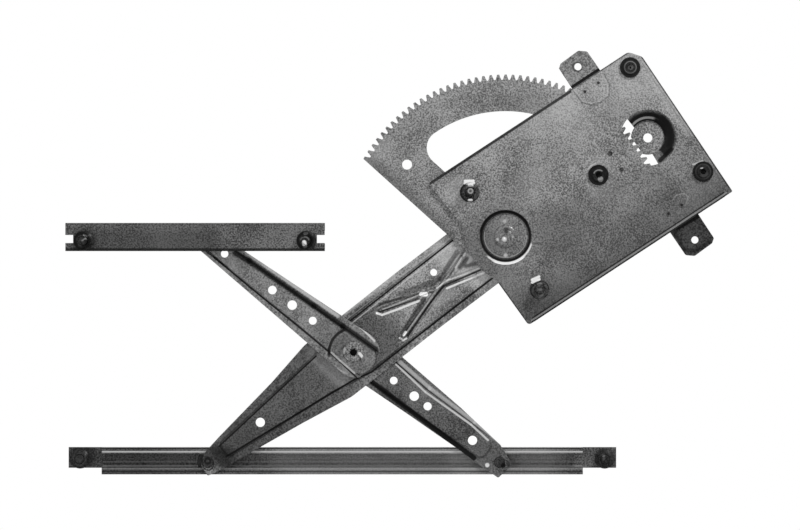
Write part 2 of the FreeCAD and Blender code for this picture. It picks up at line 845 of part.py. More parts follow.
# Motor mount bushes: threaded collars clinched into the back plate.
def make_bushes():
    bodies = []
    for name in ("one", "two", "three"):
        x, z = plate_place(f"bush_{name}_x", f"bush_{name}_z")
        body = new_body(f"bush_{name}", x, z)
        turned(
            body,
            "collar",
            [
                ("bush_bore_radius", "-bush_height"),
                ("bush_neck_radius - edge_break", "-bush_height"),
                ("bush_neck_radius", "edge_break - bush_height"),
                ("bush_neck_radius", "bush_neck_height - bush_height"),
                ("bush_radius - edge_break", "bush_neck_height - bush_height"),
                ("bush_radius", "bush_neck_height + edge_break - bush_height"),
                ("bush_radius", "0"),
                ("bush_neck_radius", "0"),
                ("bush_neck_radius", "plate_sheet"),
                ("bush_neck_radius + bush_clinch", "plate_sheet"),
                ("bush_neck_radius + bush_clinch", "plate_sheet + bush_clinch_rise"),
                ("0", "plate_sheet + bush_clinch_rise"),
                ("0", "plate_sheet"),
                ("bush_bore_radius", "plate_sheet"),
            ],
        )
        bodies.append(body)
    return group("motor_mount_bushes", bodies)


# Pressed-in studs, and the flange nuts run down on them.
# Where a nut grips, both have the thread's mean radius.
def make_stud(label, x, z, nut_seat, seat, head, front):
    body = new_body(label, x, z)
    turned(
        body,
        "stud",
        [
            ("0", front),
            ("stud_radius - stud_lead", front),
            ("stud_radius", f"{front} + stud_lead"),
            ("stud_radius", f"{nut_seat} - nut_height"),
            ("thread_radius", f"{nut_seat} - nut_height"),
            ("thread_radius", nut_seat),
            ("stud_neck_radius", nut_seat),
            ("stud_neck_radius", seat),
            ("stud_head_radius", seat),
            ("stud_head_radius", f"{seat} + {head}"),
            ("0", f"{seat} + {head}"),
        ],
    )
    return body


def make_nut(label, x, z, seat):
    body = new_body(label, x, z, y=seat)
    turned(
        body,
        "flange",
        [
            ("thread_radius", "0"),
            ("nut_flange_radius", "0"),
            ("nut_flange_radius", "-nut_flange_height / 3"),
            ("nut_flats / 2 + edge_break", "-nut_flange_height"),
            ("thread_radius", "-nut_flange_height"),
        ],
    )
    sketch = new_sketch(body, "hexagon", "XZ_Plane", "-nut_height")
    across = "nut_flats / sqrt(3)"
    corners = [(f"{across} * cos({60 * turn})", f"{across} * sin({60 * turn})") for turn in range(6)]
    add_polygon(sketch, corners)
    add_circle(sketch, "0", "0", "thread_radius")
    pad(body, sketch, "nut_height - nut_flange_height / 2", "hexagon_pad")
    turned(
        body,
        "chamfer",
        [
            ("nut_flats / 2 - nut_chamfer_in", "-nut_height - side_gap"),
            ("nut_flats / 2 + nut_chamfer_out", "-nut_height - side_gap"),
            ("nut_flats / 2 + nut_chamfer_out", "nut_chamfer - nut_height"),
        ],
        cut=True,
    )
    return body


def make_fasteners(label, places, seat, head_seat, head, out):
    studs = []
    nuts = []
    for index, (x, z) in enumerate(places, 1):
        studs.append(make_stud(f"{label}_stud_{index}", x, z, seat, head_seat, head, f"{seat} - {out}"))
        nuts.append(make_nut(f"{label}_nut_{index}", x, z, seat))
    group(f"{label}_studs", studs)
    group(f"{label}_nuts", nuts)


# Main pivot: a shouldered rivet fixed in the back plate, on which sector and lift arm turn.
def make_main_pivot():
    rivet = new_body("main_pivot_rivet")
    turned(
        rivet,
        "pivot",
        [
            ("0", "-pivot_head - pivot_boss"),
            ("pivot_boss_radius - edge_break", "-pivot_head - pivot_boss"),
            ("pivot_boss_radius", "edge_break - pivot_head - pivot_boss"),
            ("pivot_boss_radius", "-pivot_head"),
            ("pivot_head_radius - edge_break", "-pivot_head"),
            ("pivot_head_radius", "edge_break - pivot_head"),
            ("pivot_head_radius", "0"),
            ("pivot_radius", "0"),
            ("pivot_radius", f"{LIFT_WEB_REAR} + side_gap"),
            ("pivot_head_radius", f"{LIFT_WEB_REAR} + side_gap"),
            ("pivot_head_radius", f"{LIFT_WEB_REAR} + side_gap + pivot_rear_head / 2"),
            ("pivot_head_radius - pivot_rear_slope", f"{LIFT_WEB_REAR} + side_gap + pivot_rear_head"),
            ("0", f"{LIFT_WEB_REAR} + side_gap + pivot_rear_head"),
        ],
    )
    keep(rivet)
    washer = new_body("main_pivot_washer")
    turned(
        washer,
        "washer",
        [
            ("pivot_radius", "plate_sheet"),
            ("pivot_washer_radius", "plate_sheet"),
            ("pivot_washer_radius", f"{SECTOR_FRONT} - side_gap"),
            ("pivot_radius", f"{SECTOR_FRONT} - side_gap"),
        ],
    )
    return keep(washer)


# Lift arm: one long pressing. Its lips lie behind its web, and its end steps back to the sash roller.
def make_lift_arm():
    body = new_body("lift_arm", turn="180 - rest_angle")
    reach = number("half_arm + roller_reach")
    half = number("half_arm")
    left = -number("arm_left_half")
    right = number("arm_right_half")
    back = -number("arm_back")
    foot = number("foot_half")
    outline = [
        (back, left, 22),
        (98, left, 60),
        (half + 32, left + 2.2, 30),
        (reach - 89.5, -22.4, 60),
        (reach - 21.5, -12.0, 12),
        (reach - 2.4, -foot, 3),
        (reach + 6.4, -1.5, 3),
        (reach + 7.5, 9.9, 1.5),
        (reach - 0.9, 11.9, 3),
        (reach - 21.5, 14.6, 12),
        (reach - 89.5, 23.6, 60),
        (half + 26, right + 1.6, 30),
        (98, right, 60),
        (back, right, 22),
    ]
    lip = number("lip_width")
    floor = [
        (back + lip, left + lip, 16),
        (half - 22, left + lip, 40),
        (half + 4, left + lip + 4.4, 40),
        (reach - 129, -17.4, 60),
        (reach - 18, -6.6, 5),
        (reach - 18, 7.4, 5),
        (reach - 129, 17.6, 60),
        (half + 8, right - lip, 40),
        (back + lip, right - lip, 16),
    ]
    # A strip bent to the side view, then trimmed to the outline.
    far = "half_arm + roller_reach"
    side = [
        ("-arm_back - 1", LIFT_LIP_FRONT),
        (f"{far} - ramp_end - ramp_length", LIFT_LIP_FRONT),
        (f"{far} - ramp_end", FOOT_FRONT),
        (f"{far} + cut_past", FOOT_FRONT),
        (f"{far} + cut_past", FOOT_REAR),
        (f"{far} - ramp_end - ramp_mitre * arm_sheet", FOOT_REAR),
        (f"{far} - ramp_end - ramp_length - ramp_mitre * arm_sheet", LIFT_LIP_REAR),
        ("-arm_back - 1", LIFT_LIP_REAR),
    ]
    sketch = new_sketch(body, "side_view", "XY_Plane")
    add_polygon(sketch, side)
    strip = body.newObject("PartDesign::Pad", "strip")
    strip.Profile = sketch
    strip.Midplane = True
    bind(strip, "Length", "4 * arm_left_half")
    frame = [(back - 20, -90), (reach + 60, -90), (reach + 60, 90), (back - 20, 90)]
    border = [(a, b) for a, b in zip(frame, frame[1:] + frame[:1])]
    face_cut(body, "trim", border + rounded(outline), SECTOR_REAR, "arm_rise + 2 * arm_sheet + cut_past")
    crease = inset(floor, number("fold_shift"))
    face_plate(body, "web", rounded(crease), SECTOR_REAR, "arm_rise + arm_sheet / 2", "fold_slope")
    hollow = rounded(inset(crease, fold_inset()))
    face_cut(body, "hollow", hollow, LIFT_WEB_REAR, "arm_rise", "fold_slope")

    # Two crossed grooves stiffen the web. Each is pressed to the rear and has a ridge along its middle.
    ribs = [((131, -15.5), (42, 10.6)), ((130, 17.0), (43, -9.2))]
    for index, (start, stop) in enumerate(ribs, 1):
        outside = capsule(start, stop, number("rib_half"))
        start_level = f"{LIFT_WEB_REAR} - arm_sheet / 2"
        face_plate(body, f"rib_back_{index}", outside, start_level, "arm_sheet / 2 + rib_depth")
    for index, (start, stop) in enumerate(ribs, 1):
        inside = capsule(start, stop, number("rib_half"))
        face_cut(body, f"rib_{index}", inside, SECTOR_REAR, "rib_depth", "-rib_slope")
    for index, (start, stop) in enumerate(ribs, 1):
        crest = capsule(start, stop, number("ridge_half - rib_wall"))
        face_plate(body, f"ridge_{index}", crest, SECTOR_REAR, "rib_depth + rib_wall / 2", "ridge_slope")
    holes = [
        ("0", "0", "pivot_radius + running_gap"),
        ("half_arm", "0", "hub_radius + running_gap"),
        ("lift_slot_reach", "-lift_slot_rise", "lift_slot_radius"),
        ("half_arm + roller_reach - lift_end_back", "0", "lift_end_radius"),
        ("half_arm + roller_reach", "0", "stud_radius"),
    ]
    for turn in (0, 120, 240):
        holes.append(
            (
                f"sector_rivet_circle * cos({turn})",
                f"-sector_rivet_circle * sin({turn})",
                "sector_rivet_radius",
            )
        )
    drill(body, "arm_holes", holes, SECTOR_REAR, "arm_rise + arm_sheet + cut_past")
    return keep(body)


def capsule(start, stop, half):
    """A long outline with round ends."""
    angle = math.degrees(math.atan2(stop[1] - start[1], stop[0] - start[0]))
    far = arc(half, angle - 90, angle + 90, stop)
    near = arc(half, angle + 90, angle + 270, start)
    return [far, (far[2], near[0]), near, (near[2], far[0])]


def make_sector_rivets():
    bodies = []
    for index, turn in enumerate((0, 120, 240), 1):
        angle = f"(180 + rest_angle + {turn})"
        body = new_body(
            f"sector_rivet_{index}",
            f"sector_rivet_circle * cos{angle}",
            f"sector_rivet_circle * sin{angle}",
        )
        turned(
            body,
            "rivet",
            [
                ("0", f"{SECTOR_FRONT} - sector_rivet_rise"),
                ("sector_rivet_head - edge_break", f"{SECTOR_FRONT} - sector_rivet_rise"),
                ("sector_rivet_head", SECTOR_FRONT),
                ("sector_rivet_radius", SECTOR_FRONT),
                ("sector_rivet_radius", LIFT_WEB_REAR),
                ("sector_rivet_head", LIFT_WEB_REAR),
                ("sector_rivet_head - edge_break", f"{LIFT_WEB_REAR} + sector_rivet_rise"),
                ("0", f"{LIFT_WEB_REAR} + sector_rivet_rise"),
            ],
        )
        bodies.append(body)
    return group("sector_rivets", bodies)


# Upper half of the cross arm: lips towards the viewer, a raised seat about the centre pivot.
def make_cross_upper():
    body = new_body("cross_arm_upper", CENTRE_X, CENTRE_Z, "180 + rest_angle")
    reach = number("half_arm")
    wide = number("cross_half")
    tip = number("cross_tip_half")
    outline = [
        (-wide - 1, -wide, 20),
        (reach - 12, -tip, 10),
        (reach + 10, -tip + 1.5, 8),
        (reach + 10, tip - 1.5, 8),
        (reach - 12, tip, 10),
        (-wide - 1, wide, 20),
    ]
    floor = [
        (-wide, -15.4, 14),
        (reach + 9, -9.0, 7),
        (reach + 9, 9.0, 7),
        (-wide, 17.0, 14),
    ]
    open_floor = [
        (-wide - 9, -15.7, 1),
        (reach + 9, -9.0, 7),
        (reach + 9, 9.0, 7),
        (-wide - 9, 17.3, 1),
    ]
    face_plate(body, "lips", rounded(outline), UPPER_LIP_FRONT, "arm_sheet")
    web_start = UPPER_LIP_FRONT + " + arm_sheet / 2"
    face_plate(body, "web", rounded(floor), web_start, "arm_rise + arm_sheet / 2", "-fold_slope")
    rim = rounded(inset(open_floor, number("fold_shift")))
    face_cut(body, "hollow", rim, UPPER_LIP_FRONT, "arm_rise", "-fold_slope")
    seat_half = number("cross_boss_half")
    seat_radius = number("cross_boss_radius")
    swing = math.degrees(math.asin(seat_half / seat_radius))
    inner_radius = number("cross_boss_back")
    inner_swing = math.degrees(math.asin(seat_half / inner_radius))
    far = arc(seat_radius, -swing, swing)
    near = arc(inner_radius, 180 - inner_swing, 180 + inner_swing)
    seat = [far, (far[2], near[0]), near, (near[2], far[0])]
    face_plate(body, "pivot_seat", seat, UPPER_BOSS_FRONT, "cross_boss_rise + arm_sheet / 2")
    room = number("hub_radius + cross_boss_room")
    seat_back = [arc(room, 0, 180), arc(room, 180, 360)]
    face_cut(body, "seat_hollow", seat_back, f"{UPPER_WEB_REAR} - cross_boss_rise", "cross_boss_rise")
    holes = [
        ("0", "0", "hub_neck_radius"),
        ("half_arm", "0", "stud_radius"),
    ]
    for word in ("one", "two", "three", "four"):
        holes.append((f"upper_hole_{word}", "0", f"upper_hole_{word}_radius"))
    drill(body, "arm_holes", holes, UPPER_BOSS_FRONT, "cross_boss_rise + arm_sheet")
    return keep(body)


# Lower half of the cross arm: lips to the rear, ending in a flat foot for the sash roller.
def make_cross_lower():
    body = new_body("cross_arm_lower", CENTRE_X, CENTRE_Z, "rest_angle")
    reach = number("roller_reach")
    wide = number("cross_half")
    outline = [
        (-wide, -wide + 1, 20),
        (28, -18.0, 30),
        (75, -15.5, 30),
        (reach - 36, -13.2, 20),
        (reach - 11, -13.0, 3),
        (reach + 7.7, -12.0, 1.5),
        (reach + 9.4, -2.0, 3),
        (reach + 9, 6.2, 3),
        (reach - 9, 13.0, 10),
        (108, 18.1, 60),
        (38, 22.6, 40),
        (-wide, wide + 1, 20),
    ]
    floor = [
        (-wide + 4, -15.0, 13),
        (40, -12.0, 30),
        (100, -10.0, 30),
        (reach - 14, -7.6, 6),
        (reach - 14, 8.4, 6),
        (100, 12.2, 30),
        (40, 15.6, 30),
        (-wide + 4, 17.0, 13),
    ]
    face_plate(body, "lips", rounded(outline), FOOT_FRONT, "arm_sheet")
    crease = inset(floor, number("fold_shift"))
    face_plate(body, "web", rounded(crease), LOWER_WEB_FRONT, "foot_rise + arm_sheet / 2", "fold_slope")
    hollow = rounded(inset(crease, fold_inset()))
    face_cut(body, "hollow", hollow, LOWER_WEB_REAR, "foot_rise", "fold_slope")
    holes = [
        ("0", "0", "hub_neck_radius"),
        ("roller_reach", "0", "stud_radius"),
    ]
    for word in ("one", "two", "three", "four"):
        holes.append((f"lower_hole_{word}", "lower_hole_rise", f"lower_hole_{word}_radius"))
    drill(body, "arm_holes", holes, LOWER_WEB_FRONT, "foot_rise + arm_sheet")
    return keep(body)


# Centre pivot: a hub that passes through the lift arm and holds both halves of the cross arm.
def make_hub():
    body = new_body("cross_pivot_hub", CENTRE_X, CENTRE_Z)
    front = UPPER_BOSS_FRONT
    turned(
        body,
        "hub",
        [
            ("hub_hole_radius", f"{front} - hub_rim"),
            ("hub_rim_radius - edge_break", f"{front} - hub_rim"),
            ("hub_rim_radius", front),
            ("hub_neck_radius", front),
            ("hub_neck_radius", f"{front} + arm_sheet"),
            ("hub_radius", f"{front} + arm_sheet"),
            ("hub_radius", LOWER_WEB_FRONT),
            ("hub_neck_radius", LOWER_WEB_FRONT),
            ("hub_neck_radius", LOWER_WEB_REAR),
            ("hub_rim_radius", LOWER_WEB_REAR),
            ("hub_rim_radius - edge_break", f"{LOWER_WEB_REAR} + hub_rim"),
            ("0", f"{LOWER_WEB_REAR} + hub_rim"),
            ("0", LOWER_WEB_FRONT),
            ("hub_hole_radius", LOWER_WEB_FRONT),
        ],
    )
    return keep(body)


# Rollers and the headed studs they run on. Way is -1 where the stud points to the viewer, 1 to the rear.
def make_roller_stud(label, x, z, seat_near, seat_far, gap, way):
    def out(amount):
        return f"{seat_far} + {way} * ({amount})"

    start = f"{gap} + roller_start"
    body = new_body(label, x, z)
    corners = [
        ("0", f"{seat_near} - {way} * stud_cap"),
        ("stud_button_radius - edge_break", f"{seat_near} - {way} * stud_cap"),
        ("stud_button_radius", seat_near),
        ("stud_radius", seat_near),
        ("stud_radius", seat_far),
        ("collar_radius", seat_far),
        ("collar_radius", out(start)),
        ("stud_radius", out(start)),
        ("stud_radius", out(f"{start} + roller_width + side_gap")),
        ("stud_cap_radius", out(f"{start} + roller_width + side_gap")),
        ("stud_cap_radius", out(f"{start} + roller_width + side_gap + stud_cap")),
        ("0", out(f"{start} + roller_width + side_gap + stud_cap")),
    ]
    turned(body, "stud", corners)
    return keep(body)


def make_roller(label, x, z, seat_far, gap, way):
    start = f"{gap} + roller_start + side_gap / 2"
    body = new_body(label, x, z, y=f"{seat_far} + {way} * ({start})")
    turned(
        body,
        "tyre",
        [
            ("roller_bore", "0"),
            ("roller_radius - roller_edge", "0"),
            ("roller_radius", f"{way} * roller_edge"),
            ("roller_radius", f"{way} * (roller_width - roller_edge)"),
            ("roller_radius - roller_edge", f"{way} * roller_width"),
            ("roller_bore", f"{way} * roller_width"),
        ],
    )
    return keep(body)


# Channels: a C-section with the slot side given first.
def channel_corners(slot_side, web_side, inward, tall, slot, thin):
    lip_in = f"{slot_side} + {inward} * {thin}"
    web_in = f"{web_side} - {inward} * {thin}"
    upper = [
        (lip_in, f"{slot} / 2"),
        (lip_in, f"{tall} / 2 - {thin}"),
        (web_in, f"{tall} / 2 - {thin}"),
        (web_in, f"{thin} - {tall} / 2"),
        (lip_in, f"{thin} - {tall} / 2"),
        (lip_in, f"-{slot} / 2"),
    ]
    outside = [
        (slot_side, f"-{slot} / 2"),
        (slot_side, f"-{tall} / 2"),
        (web_side, f"-{tall} / 2"),
        (web_side, f"{tall} / 2"),
        (slot_side, f"{tall} / 2"),
        (slot_side, f"{slot} / 2"),
    ]
    return outside + upper


def make_channel(label, z, left, length, corners, bends):
    body = new_body(label, z=z)
    sketch = new_sketch(body, "section", "YZ_Plane", left)
    add_polygon(sketch, corners)
    run = body.newObject("PartDesign::Pad", "run")
    run.Profile = sketch
    bind(run, "Length", length)
    tall, levels = bends
    half = number(tall) / 2
    depths = [number(level) for level in levels]

    def outer_bend(point):
        return abs(abs(point.z) - half) < 1e-4 and any(abs(point.y - depth) < 1e-4 for depth in depths)

    round_edges(body, run, outer_bend, "channel_round", "bends")
    return body


def make_guide():
    corners = channel_corners(GUIDE_REAR, GUIDE_FRONT, "-1", "guide_tall", "guide_slot", "guide_sheet")
    body = make_channel(
        "guide_channel",
        "-guide_drop",
        "guide_left",
        "guide_length",
        corners,
        ("guide_tall", (GUIDE_FRONT, GUIDE_REAR)),
    )
    notches = [
        ("guide_left - side_gap", "guide_left + guide_notch_depth"),
        ("guide_left + guide_length - guide_notch_depth", "guide_left + guide_length + side_gap"),
    ]
    middle = "-guide_notch_tall / 4"
    for index, (start, stop) in enumerate(notches, 1):
        sketch = new_sketch(body, f"notch_{index}_outline", "XZ_Plane", f"{GUIDE_FRONT} - side_gap")
        low = f"{middle} - guide_notch_tall / 2"
        high = f"{middle} + guide_notch_tall / 2"
        add_polygon(sketch, [(start, low), (stop, low), (stop, high), (start, high)])
        pocket(body, sketch, "guide_sheet + side_gap", f"notch_{index}")
    holes = [(x, "-guide_stud_drop", "stud_neck_radius") for x in guide_stud_places()]
    drill(body, "stud_holes", holes, GUIDE_FRONT, "guide_sheet")
    return keep(body)


def guide_stud_places():
    return ["guide_left + guide_stud_inset", "guide_left + guide_length - guide_stud_inset"]


def sash_stud_places():
    return ["sash_left + sash_stud_inset", "sash_left + sash_length - sash_stud_inset"]


def make_sash():
    corners = channel_corners(SASH_FRONT, SASH_REAR, "1", "sash_tall", "sash_slot", "sash_sheet")
    body = make_channel(
        "sash_channel", SASH_Z, "sash_left", "sash_length", corners, ("sash_tall", (SASH_FRONT, SASH_REAR))
    )
    ends = [
        ("sash_left - side_gap", "sash_left + sash_tab"),
        ("sash_left + sash_length - sash_tab", "sash_left + sash_length + side_gap"),
    ]
    for index, (start, stop) in enumerate(ends, 1):
        sketch = new_sketch(body, f"end_{index}_outline", "XZ_Plane", f"{SASH_FRONT} - side_gap")
        low = "-sash_tall"
        high = "sash_tall"
        add_polygon(sketch, [(start, low), (stop, low), (stop, high), (start, high)])
        pocket(body, sketch, "channel_depth + sash_sheet + side_gap", f"end_{index}")
        sketch = new_sketch(body, f"end_{index}_edge", "XZ_Plane", SASH_WEB_FRONT)
        high = "sash_tall / 2 - sash_tab_tall"
        add_polygon(sketch, [(start, low), (stop, low), (stop, high), (start, high)])
        pocket(body, sketch, "sash_sheet + side_gap", f"end_cut_{index}")

    # A long bead stiffens the web below the rollers.
    def bead(wall):
        start = f"sash_left + sash_tab + sash_bead_inset + {wall}"
        stop = f"sash_left + sash_length - sash_tab - sash_bead_inset - {wall}"
        low = f"{wall} - sash_bead_drop - sash_bead_half"
        high = f"sash_bead_half - sash_bead_drop - {wall}"
        return [(start, low), (stop, low), (stop, high), (start, high)]

    sketch = new_sketch(body, "bead_back", "XZ_Plane", f"{SASH_WEB_FRONT} + sash_sheet / 2")
    add_polygon(sketch, bead("0"))
    pad(body, sketch, "sash_sheet / 2 + sash_bead_rise", "bead_rear")
    sketch = new_sketch(body, "bead_front", "XZ_Plane", SASH_WEB_FRONT)
    add_polygon(sketch, bead("sash_bead_wall"))
    pocket(body, sketch, "sash_bead_rise", "bead")
    holes = [(x, "sash_tall / 2 - sash_stud_drop", "stud_neck_radius") for x in sash_stud_places()]
    drill(body, "stud_holes", holes, SASH_WEB_FRONT, "sash_sheet")
    return keep(body)


make_back_plate()
make_tab(
    "upper_mount_tab",
    "tab_x",
    UPPER_HOLE_Z,
    "upper_tab_out + upper_tab_in",
    "upper_tab_out + tab_rivet_in",
    "-plate_tilt",
)
make_tab(
    "lower_mount_tab",
    "lower_tab_x",
    LOWER_HOLE_Z,
    "lower_tab_out + lower_tab_in",
    "lower_tab_out + lower_rivet_in",
    "180 - plate_tilt",
)
make_tab_rivets()
make_bushes()
plate_studs = [plate_place("upper_stud_x", "upper_stud_z"), plate_place("lower_stud_x", "lower_stud_z")]
make_fasteners("back_plate", plate_studs, "0", "plate_sheet", "plate_stud_head", "stud_out")
make_main_pivot()
make_guide()
guide_studs = [(x, "-guide_drop - guide_stud_drop") for x in guide_stud_places()]
make_fasteners("guide_channel", guide_studs, GUIDE_FRONT, GUIDE_WEB_REAR, "channel_stud_head", "stud_out")
make_sector()
make_lift_arm()
make_sector_rivets()
make_cross_upper()
make_cross_lower()
make_hub()
sash_neck = "sash_gap + sash_sheet"
make_roller_stud("lift_roller_stud", LIFT_ROLLER_X, ROLLER_Z, FOOT_FRONT, FOOT_REAR, sash_neck, 1)
make_roller_stud("cross_roller_stud", CROSS_ROLLER_X, ROLLER_Z, FOOT_FRONT, FOOT_REAR, sash_neck, 1)
make_roller_stud(
    "guide_roller_stud",
    GUIDE_ROLLER_X,
    "0",
    UPPER_WEB_REAR,
    UPPER_WEB_FRONT,
    "arm_rise + arm_gap + guide_sheet",
    -1,
)
make_roller("lift_roller", LIFT_ROLLER_X, ROLLER_Z, FOOT_REAR, "sash_gap + sash_sheet", 1)
make_roller("cross_roller", CROSS_ROLLER_X, ROLLER_Z, FOOT_REAR, "sash_gap + sash_sheet", 1)
make_roller("guide_roller", GUIDE_ROLLER_X, "0", UPPER_WEB_FRONT, "arm_rise + arm_gap + guide_sheet", -1)
make_sash()
sash_height = SASH_Z + " + sash_tall / 2 - sash_stud_drop"
sash_studs = [(x, sash_height) for x in sash_stud_places()]
make_fasteners("sash", sash_studs, SASH_WEB_FRONT, SASH_REAR, "channel_stud_head", "sash_stud_out")
document.recompute()

for item in document.Objects:
    if "Invalid" in item.State or "Error" in item.State:
        raise RuntimeError(f"{item.Name} failed: {item.State}")
for item in finished:
    if item.Shape.isNull() or not item.Shape.isValid():
        raise RuntimeError(f"{item.Label} has no valid shape")
    if item.isDerivedFrom("PartDesign::Body") and len(item.Shape.Solids) != 1:
        raise RuntimeError(f"{item.Label} has {len(item.Shape.Solids)} solids")

os.makedirs("parts", exist_ok=True)
for item in finished:
    item.Shape.exportStep(f"parts/{item.Label}.step")
    box = item.Shape.BoundBox
    print(f"{item.Label}: {len(item.Shape.Solids)} solids, {item.Shape.Volume:.0f} mm3, {box}")
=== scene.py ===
# %% [markdown]
# # Crossed-arm window regulator
#
# A door's window rides up and down on this linkage of zinc plated steel pressings. The frame that this script
# loads holds every pressing at its true size, so the script gives each one its finish, and models the small
# hardware that a casual stand-in would leave out: threads, chamfered nuts, dished collars and a formed rivet
# head. X runs to the right, Z up, and Y away from the viewer. Places are in metres, and the small sizes of
# marks and hardware in millimetres.

import math

import bmesh
import bpy
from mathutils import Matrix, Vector


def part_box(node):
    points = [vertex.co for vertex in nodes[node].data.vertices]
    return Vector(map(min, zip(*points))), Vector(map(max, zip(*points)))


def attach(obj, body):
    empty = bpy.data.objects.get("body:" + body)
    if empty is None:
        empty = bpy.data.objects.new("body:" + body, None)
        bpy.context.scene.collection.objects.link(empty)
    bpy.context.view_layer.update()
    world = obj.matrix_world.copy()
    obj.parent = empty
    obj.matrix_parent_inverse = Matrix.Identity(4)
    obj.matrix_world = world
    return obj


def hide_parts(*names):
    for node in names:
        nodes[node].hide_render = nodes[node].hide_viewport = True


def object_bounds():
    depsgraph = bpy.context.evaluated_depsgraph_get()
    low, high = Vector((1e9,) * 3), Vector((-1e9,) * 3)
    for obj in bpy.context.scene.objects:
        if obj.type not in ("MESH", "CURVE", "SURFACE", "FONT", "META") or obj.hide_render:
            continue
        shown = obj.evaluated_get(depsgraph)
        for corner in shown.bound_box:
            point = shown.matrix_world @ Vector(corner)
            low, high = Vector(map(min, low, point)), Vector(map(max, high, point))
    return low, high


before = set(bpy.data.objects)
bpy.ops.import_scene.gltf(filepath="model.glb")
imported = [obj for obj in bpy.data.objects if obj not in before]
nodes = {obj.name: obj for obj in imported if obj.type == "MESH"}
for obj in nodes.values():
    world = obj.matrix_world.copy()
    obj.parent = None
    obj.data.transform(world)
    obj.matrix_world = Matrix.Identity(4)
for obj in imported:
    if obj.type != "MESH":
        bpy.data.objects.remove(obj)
cad_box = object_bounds()
print("pieces in the frame:", len(nodes))

# %% [markdown]
# The picture to match was taken straight on, from so far away that nothing in it tapers. A long lens gives
# the same flat look: at four metres, 0.722 m of width has to fill a 36 mm sensor. The regulator's middle in
# the picture is its aim.

# %% Camera
VIEW_WIDTH = 0.7219
DISTANCE = 4.0
AIM = Vector((-0.1606, 0.0, -0.1789))

lens = bpy.data.cameras.new("long_lens")
lens.sensor_width = 36.0
lens.lens = lens.sensor_width * DISTANCE / VIEW_WIDTH
lens.clip_end = 50.0
camera = bpy.data.objects.new("camera", lens)
camera.location = AIM - Vector((0.0, DISTANCE, 0.0))
camera.rotation_euler = (math.pi / 2, 0.0, 0.0)
bpy.context.scene.collection.objects.link(camera)
bpy.context.scene.camera = camera
bpy.context.scene.view_settings.view_transform = "Standard"
print("lens:", round(lens.lens, 1), "mm")

# %% [markdown]
# A material or a world in Blender is a tree of nodes. A few small helpers keep the trees below readable: one
# empties a tree, one gives a maker of nodes in it, and two chain arithmetic on numbers and on vectors.

# %% Node helpers


def own_nodes(owner):
    """An empty node tree of a material or world, ready to fill, as a maker of nodes in it."""
    owner.use_nodes = True
    owner.node_tree.nodes.clear()
    return maker(owner.node_tree)


def maker(tree):
    """A function that makes a node, sets its own sockets, and links what it is given as an output."""

    def node(kind, settings=(), **sockets):
        made = tree.nodes.new(kind)
        for name, value in dict(settings).items():
            setattr(made, name, value)
        for name, value in sockets.items():
            key = int(name[1:]) if name[0] == "n" and name[1:].isdigit() else name.replace("_", " ")
            if isinstance(value, bpy.types.NodeSocket):
                tree.links.new(value, made.inputs[key])
            else:
                made.inputs[key].default_value = value
        return made

    return node


def maths(node, operation, first, second=0.0, clamp=False):
    """One arithmetic step on numbers or outputs."""
    settings = {"operation": operation, "use_clamp": clamp}
    return node("ShaderNodeMath", settings, n0=first, n1=second).outputs[0]


def on_vectors(node, operation, first, second=(0.0, 0.0, 0.0)):
    """One step of vector arithmetic; the node's outputs come back."""
    return node("ShaderNodeVectorMath", {"operation": operation}, n0=first, n1=second).outputs


print("helpers ready")

# %% [markdown]
# The studio is plain: a pale floor below the regulator that fades out behind it, and a bright sky that the
# camera and the shiny metal see as white. The sky that lights matt surfaces is kept lower than that white, or
# every fold would wash out.

# %% Sky
SKY_LIGHT = 0.34
WHITE = (1.0, 1.0, 1.0, 1.0)

sky = bpy.data.worlds.new("studio")
bpy.context.scene.world = sky
node = own_nodes(sky)
rays = node("ShaderNodeLightPath").outputs
seen = maths(node, "MAXIMUM", rays["Is Camera Ray"], rays["Is Glossy Ray"])
seen = maths(node, "MAXIMUM", seen, rays["Is Transmission Ray"])
strength = node("ShaderNodeMapRange", To_Min=SKY_LIGHT, To_Max=1.0, Value=seen).outputs["Result"]
light = node("ShaderNodeBackground", Color=WHITE, Strength=strength)
node("ShaderNodeOutputWorld", Surface=light.outputs[0])
print("sky:", SKY_LIGHT)

# %% Floor
FLOOR_DROP = 0.1
FLOOR_SOLID = 0.42
FLOOR_END = 0.72
PALE = (0.86, 0.86, 0.86, 1.0)

floor_middle = (AIM.x, 0.0, cad_box[0][2] - FLOOR_DROP)
floor_mesh = bpy.data.meshes.new("floor")
shape = bmesh.new()
bmesh.ops.create_circle(shape, cap_ends=True, segments=96, radius=FLOOR_END)
bmesh.ops.translate(shape, verts=shape.verts, vec=floor_middle)
shape.to_mesh(floor_mesh)
shape.free()
floor = bpy.data.objects.new("floor", floor_mesh)
bpy.context.scene.collection.objects.link(floor)
paper = bpy.data.materials.new("pale_paper")
node = own_nodes(paper)
place = node("ShaderNodeTexCoord").outputs["Object"]
offset = on_vectors(node, "SUBTRACT", place, floor_middle)["Vector"]
away = on_vectors(node, "LENGTH", offset)["Value"]
fade = node("ShaderNodeMapRange", Value=away, From_Min=FLOOR_SOLID, From_Max=FLOOR_END)
matt = node("ShaderNodeBsdfPrincipled", Base_Color=PALE, Roughness=0.9)
clear = node("ShaderNodeBsdfTransparent")
mixed = node("ShaderNodeMixShader", n0=fade.outputs["Result"], n1=matt.outputs[0], n2=clear.outputs[0])
node("ShaderNodeOutputMaterial", Surface=mixed.outputs[0])
floor.data.materials.append(paper)
print("floor at", round(floor_middle[2], 3))

# %% [markdown]
# The key lamp stands up and to the right and rather close to the plane of the sheets, because in the picture
# the walls that face down and to the left are the dark ones, and a grazing lamp is what makes shallow
# pressings read. Each lamp is a place, a size and a power.

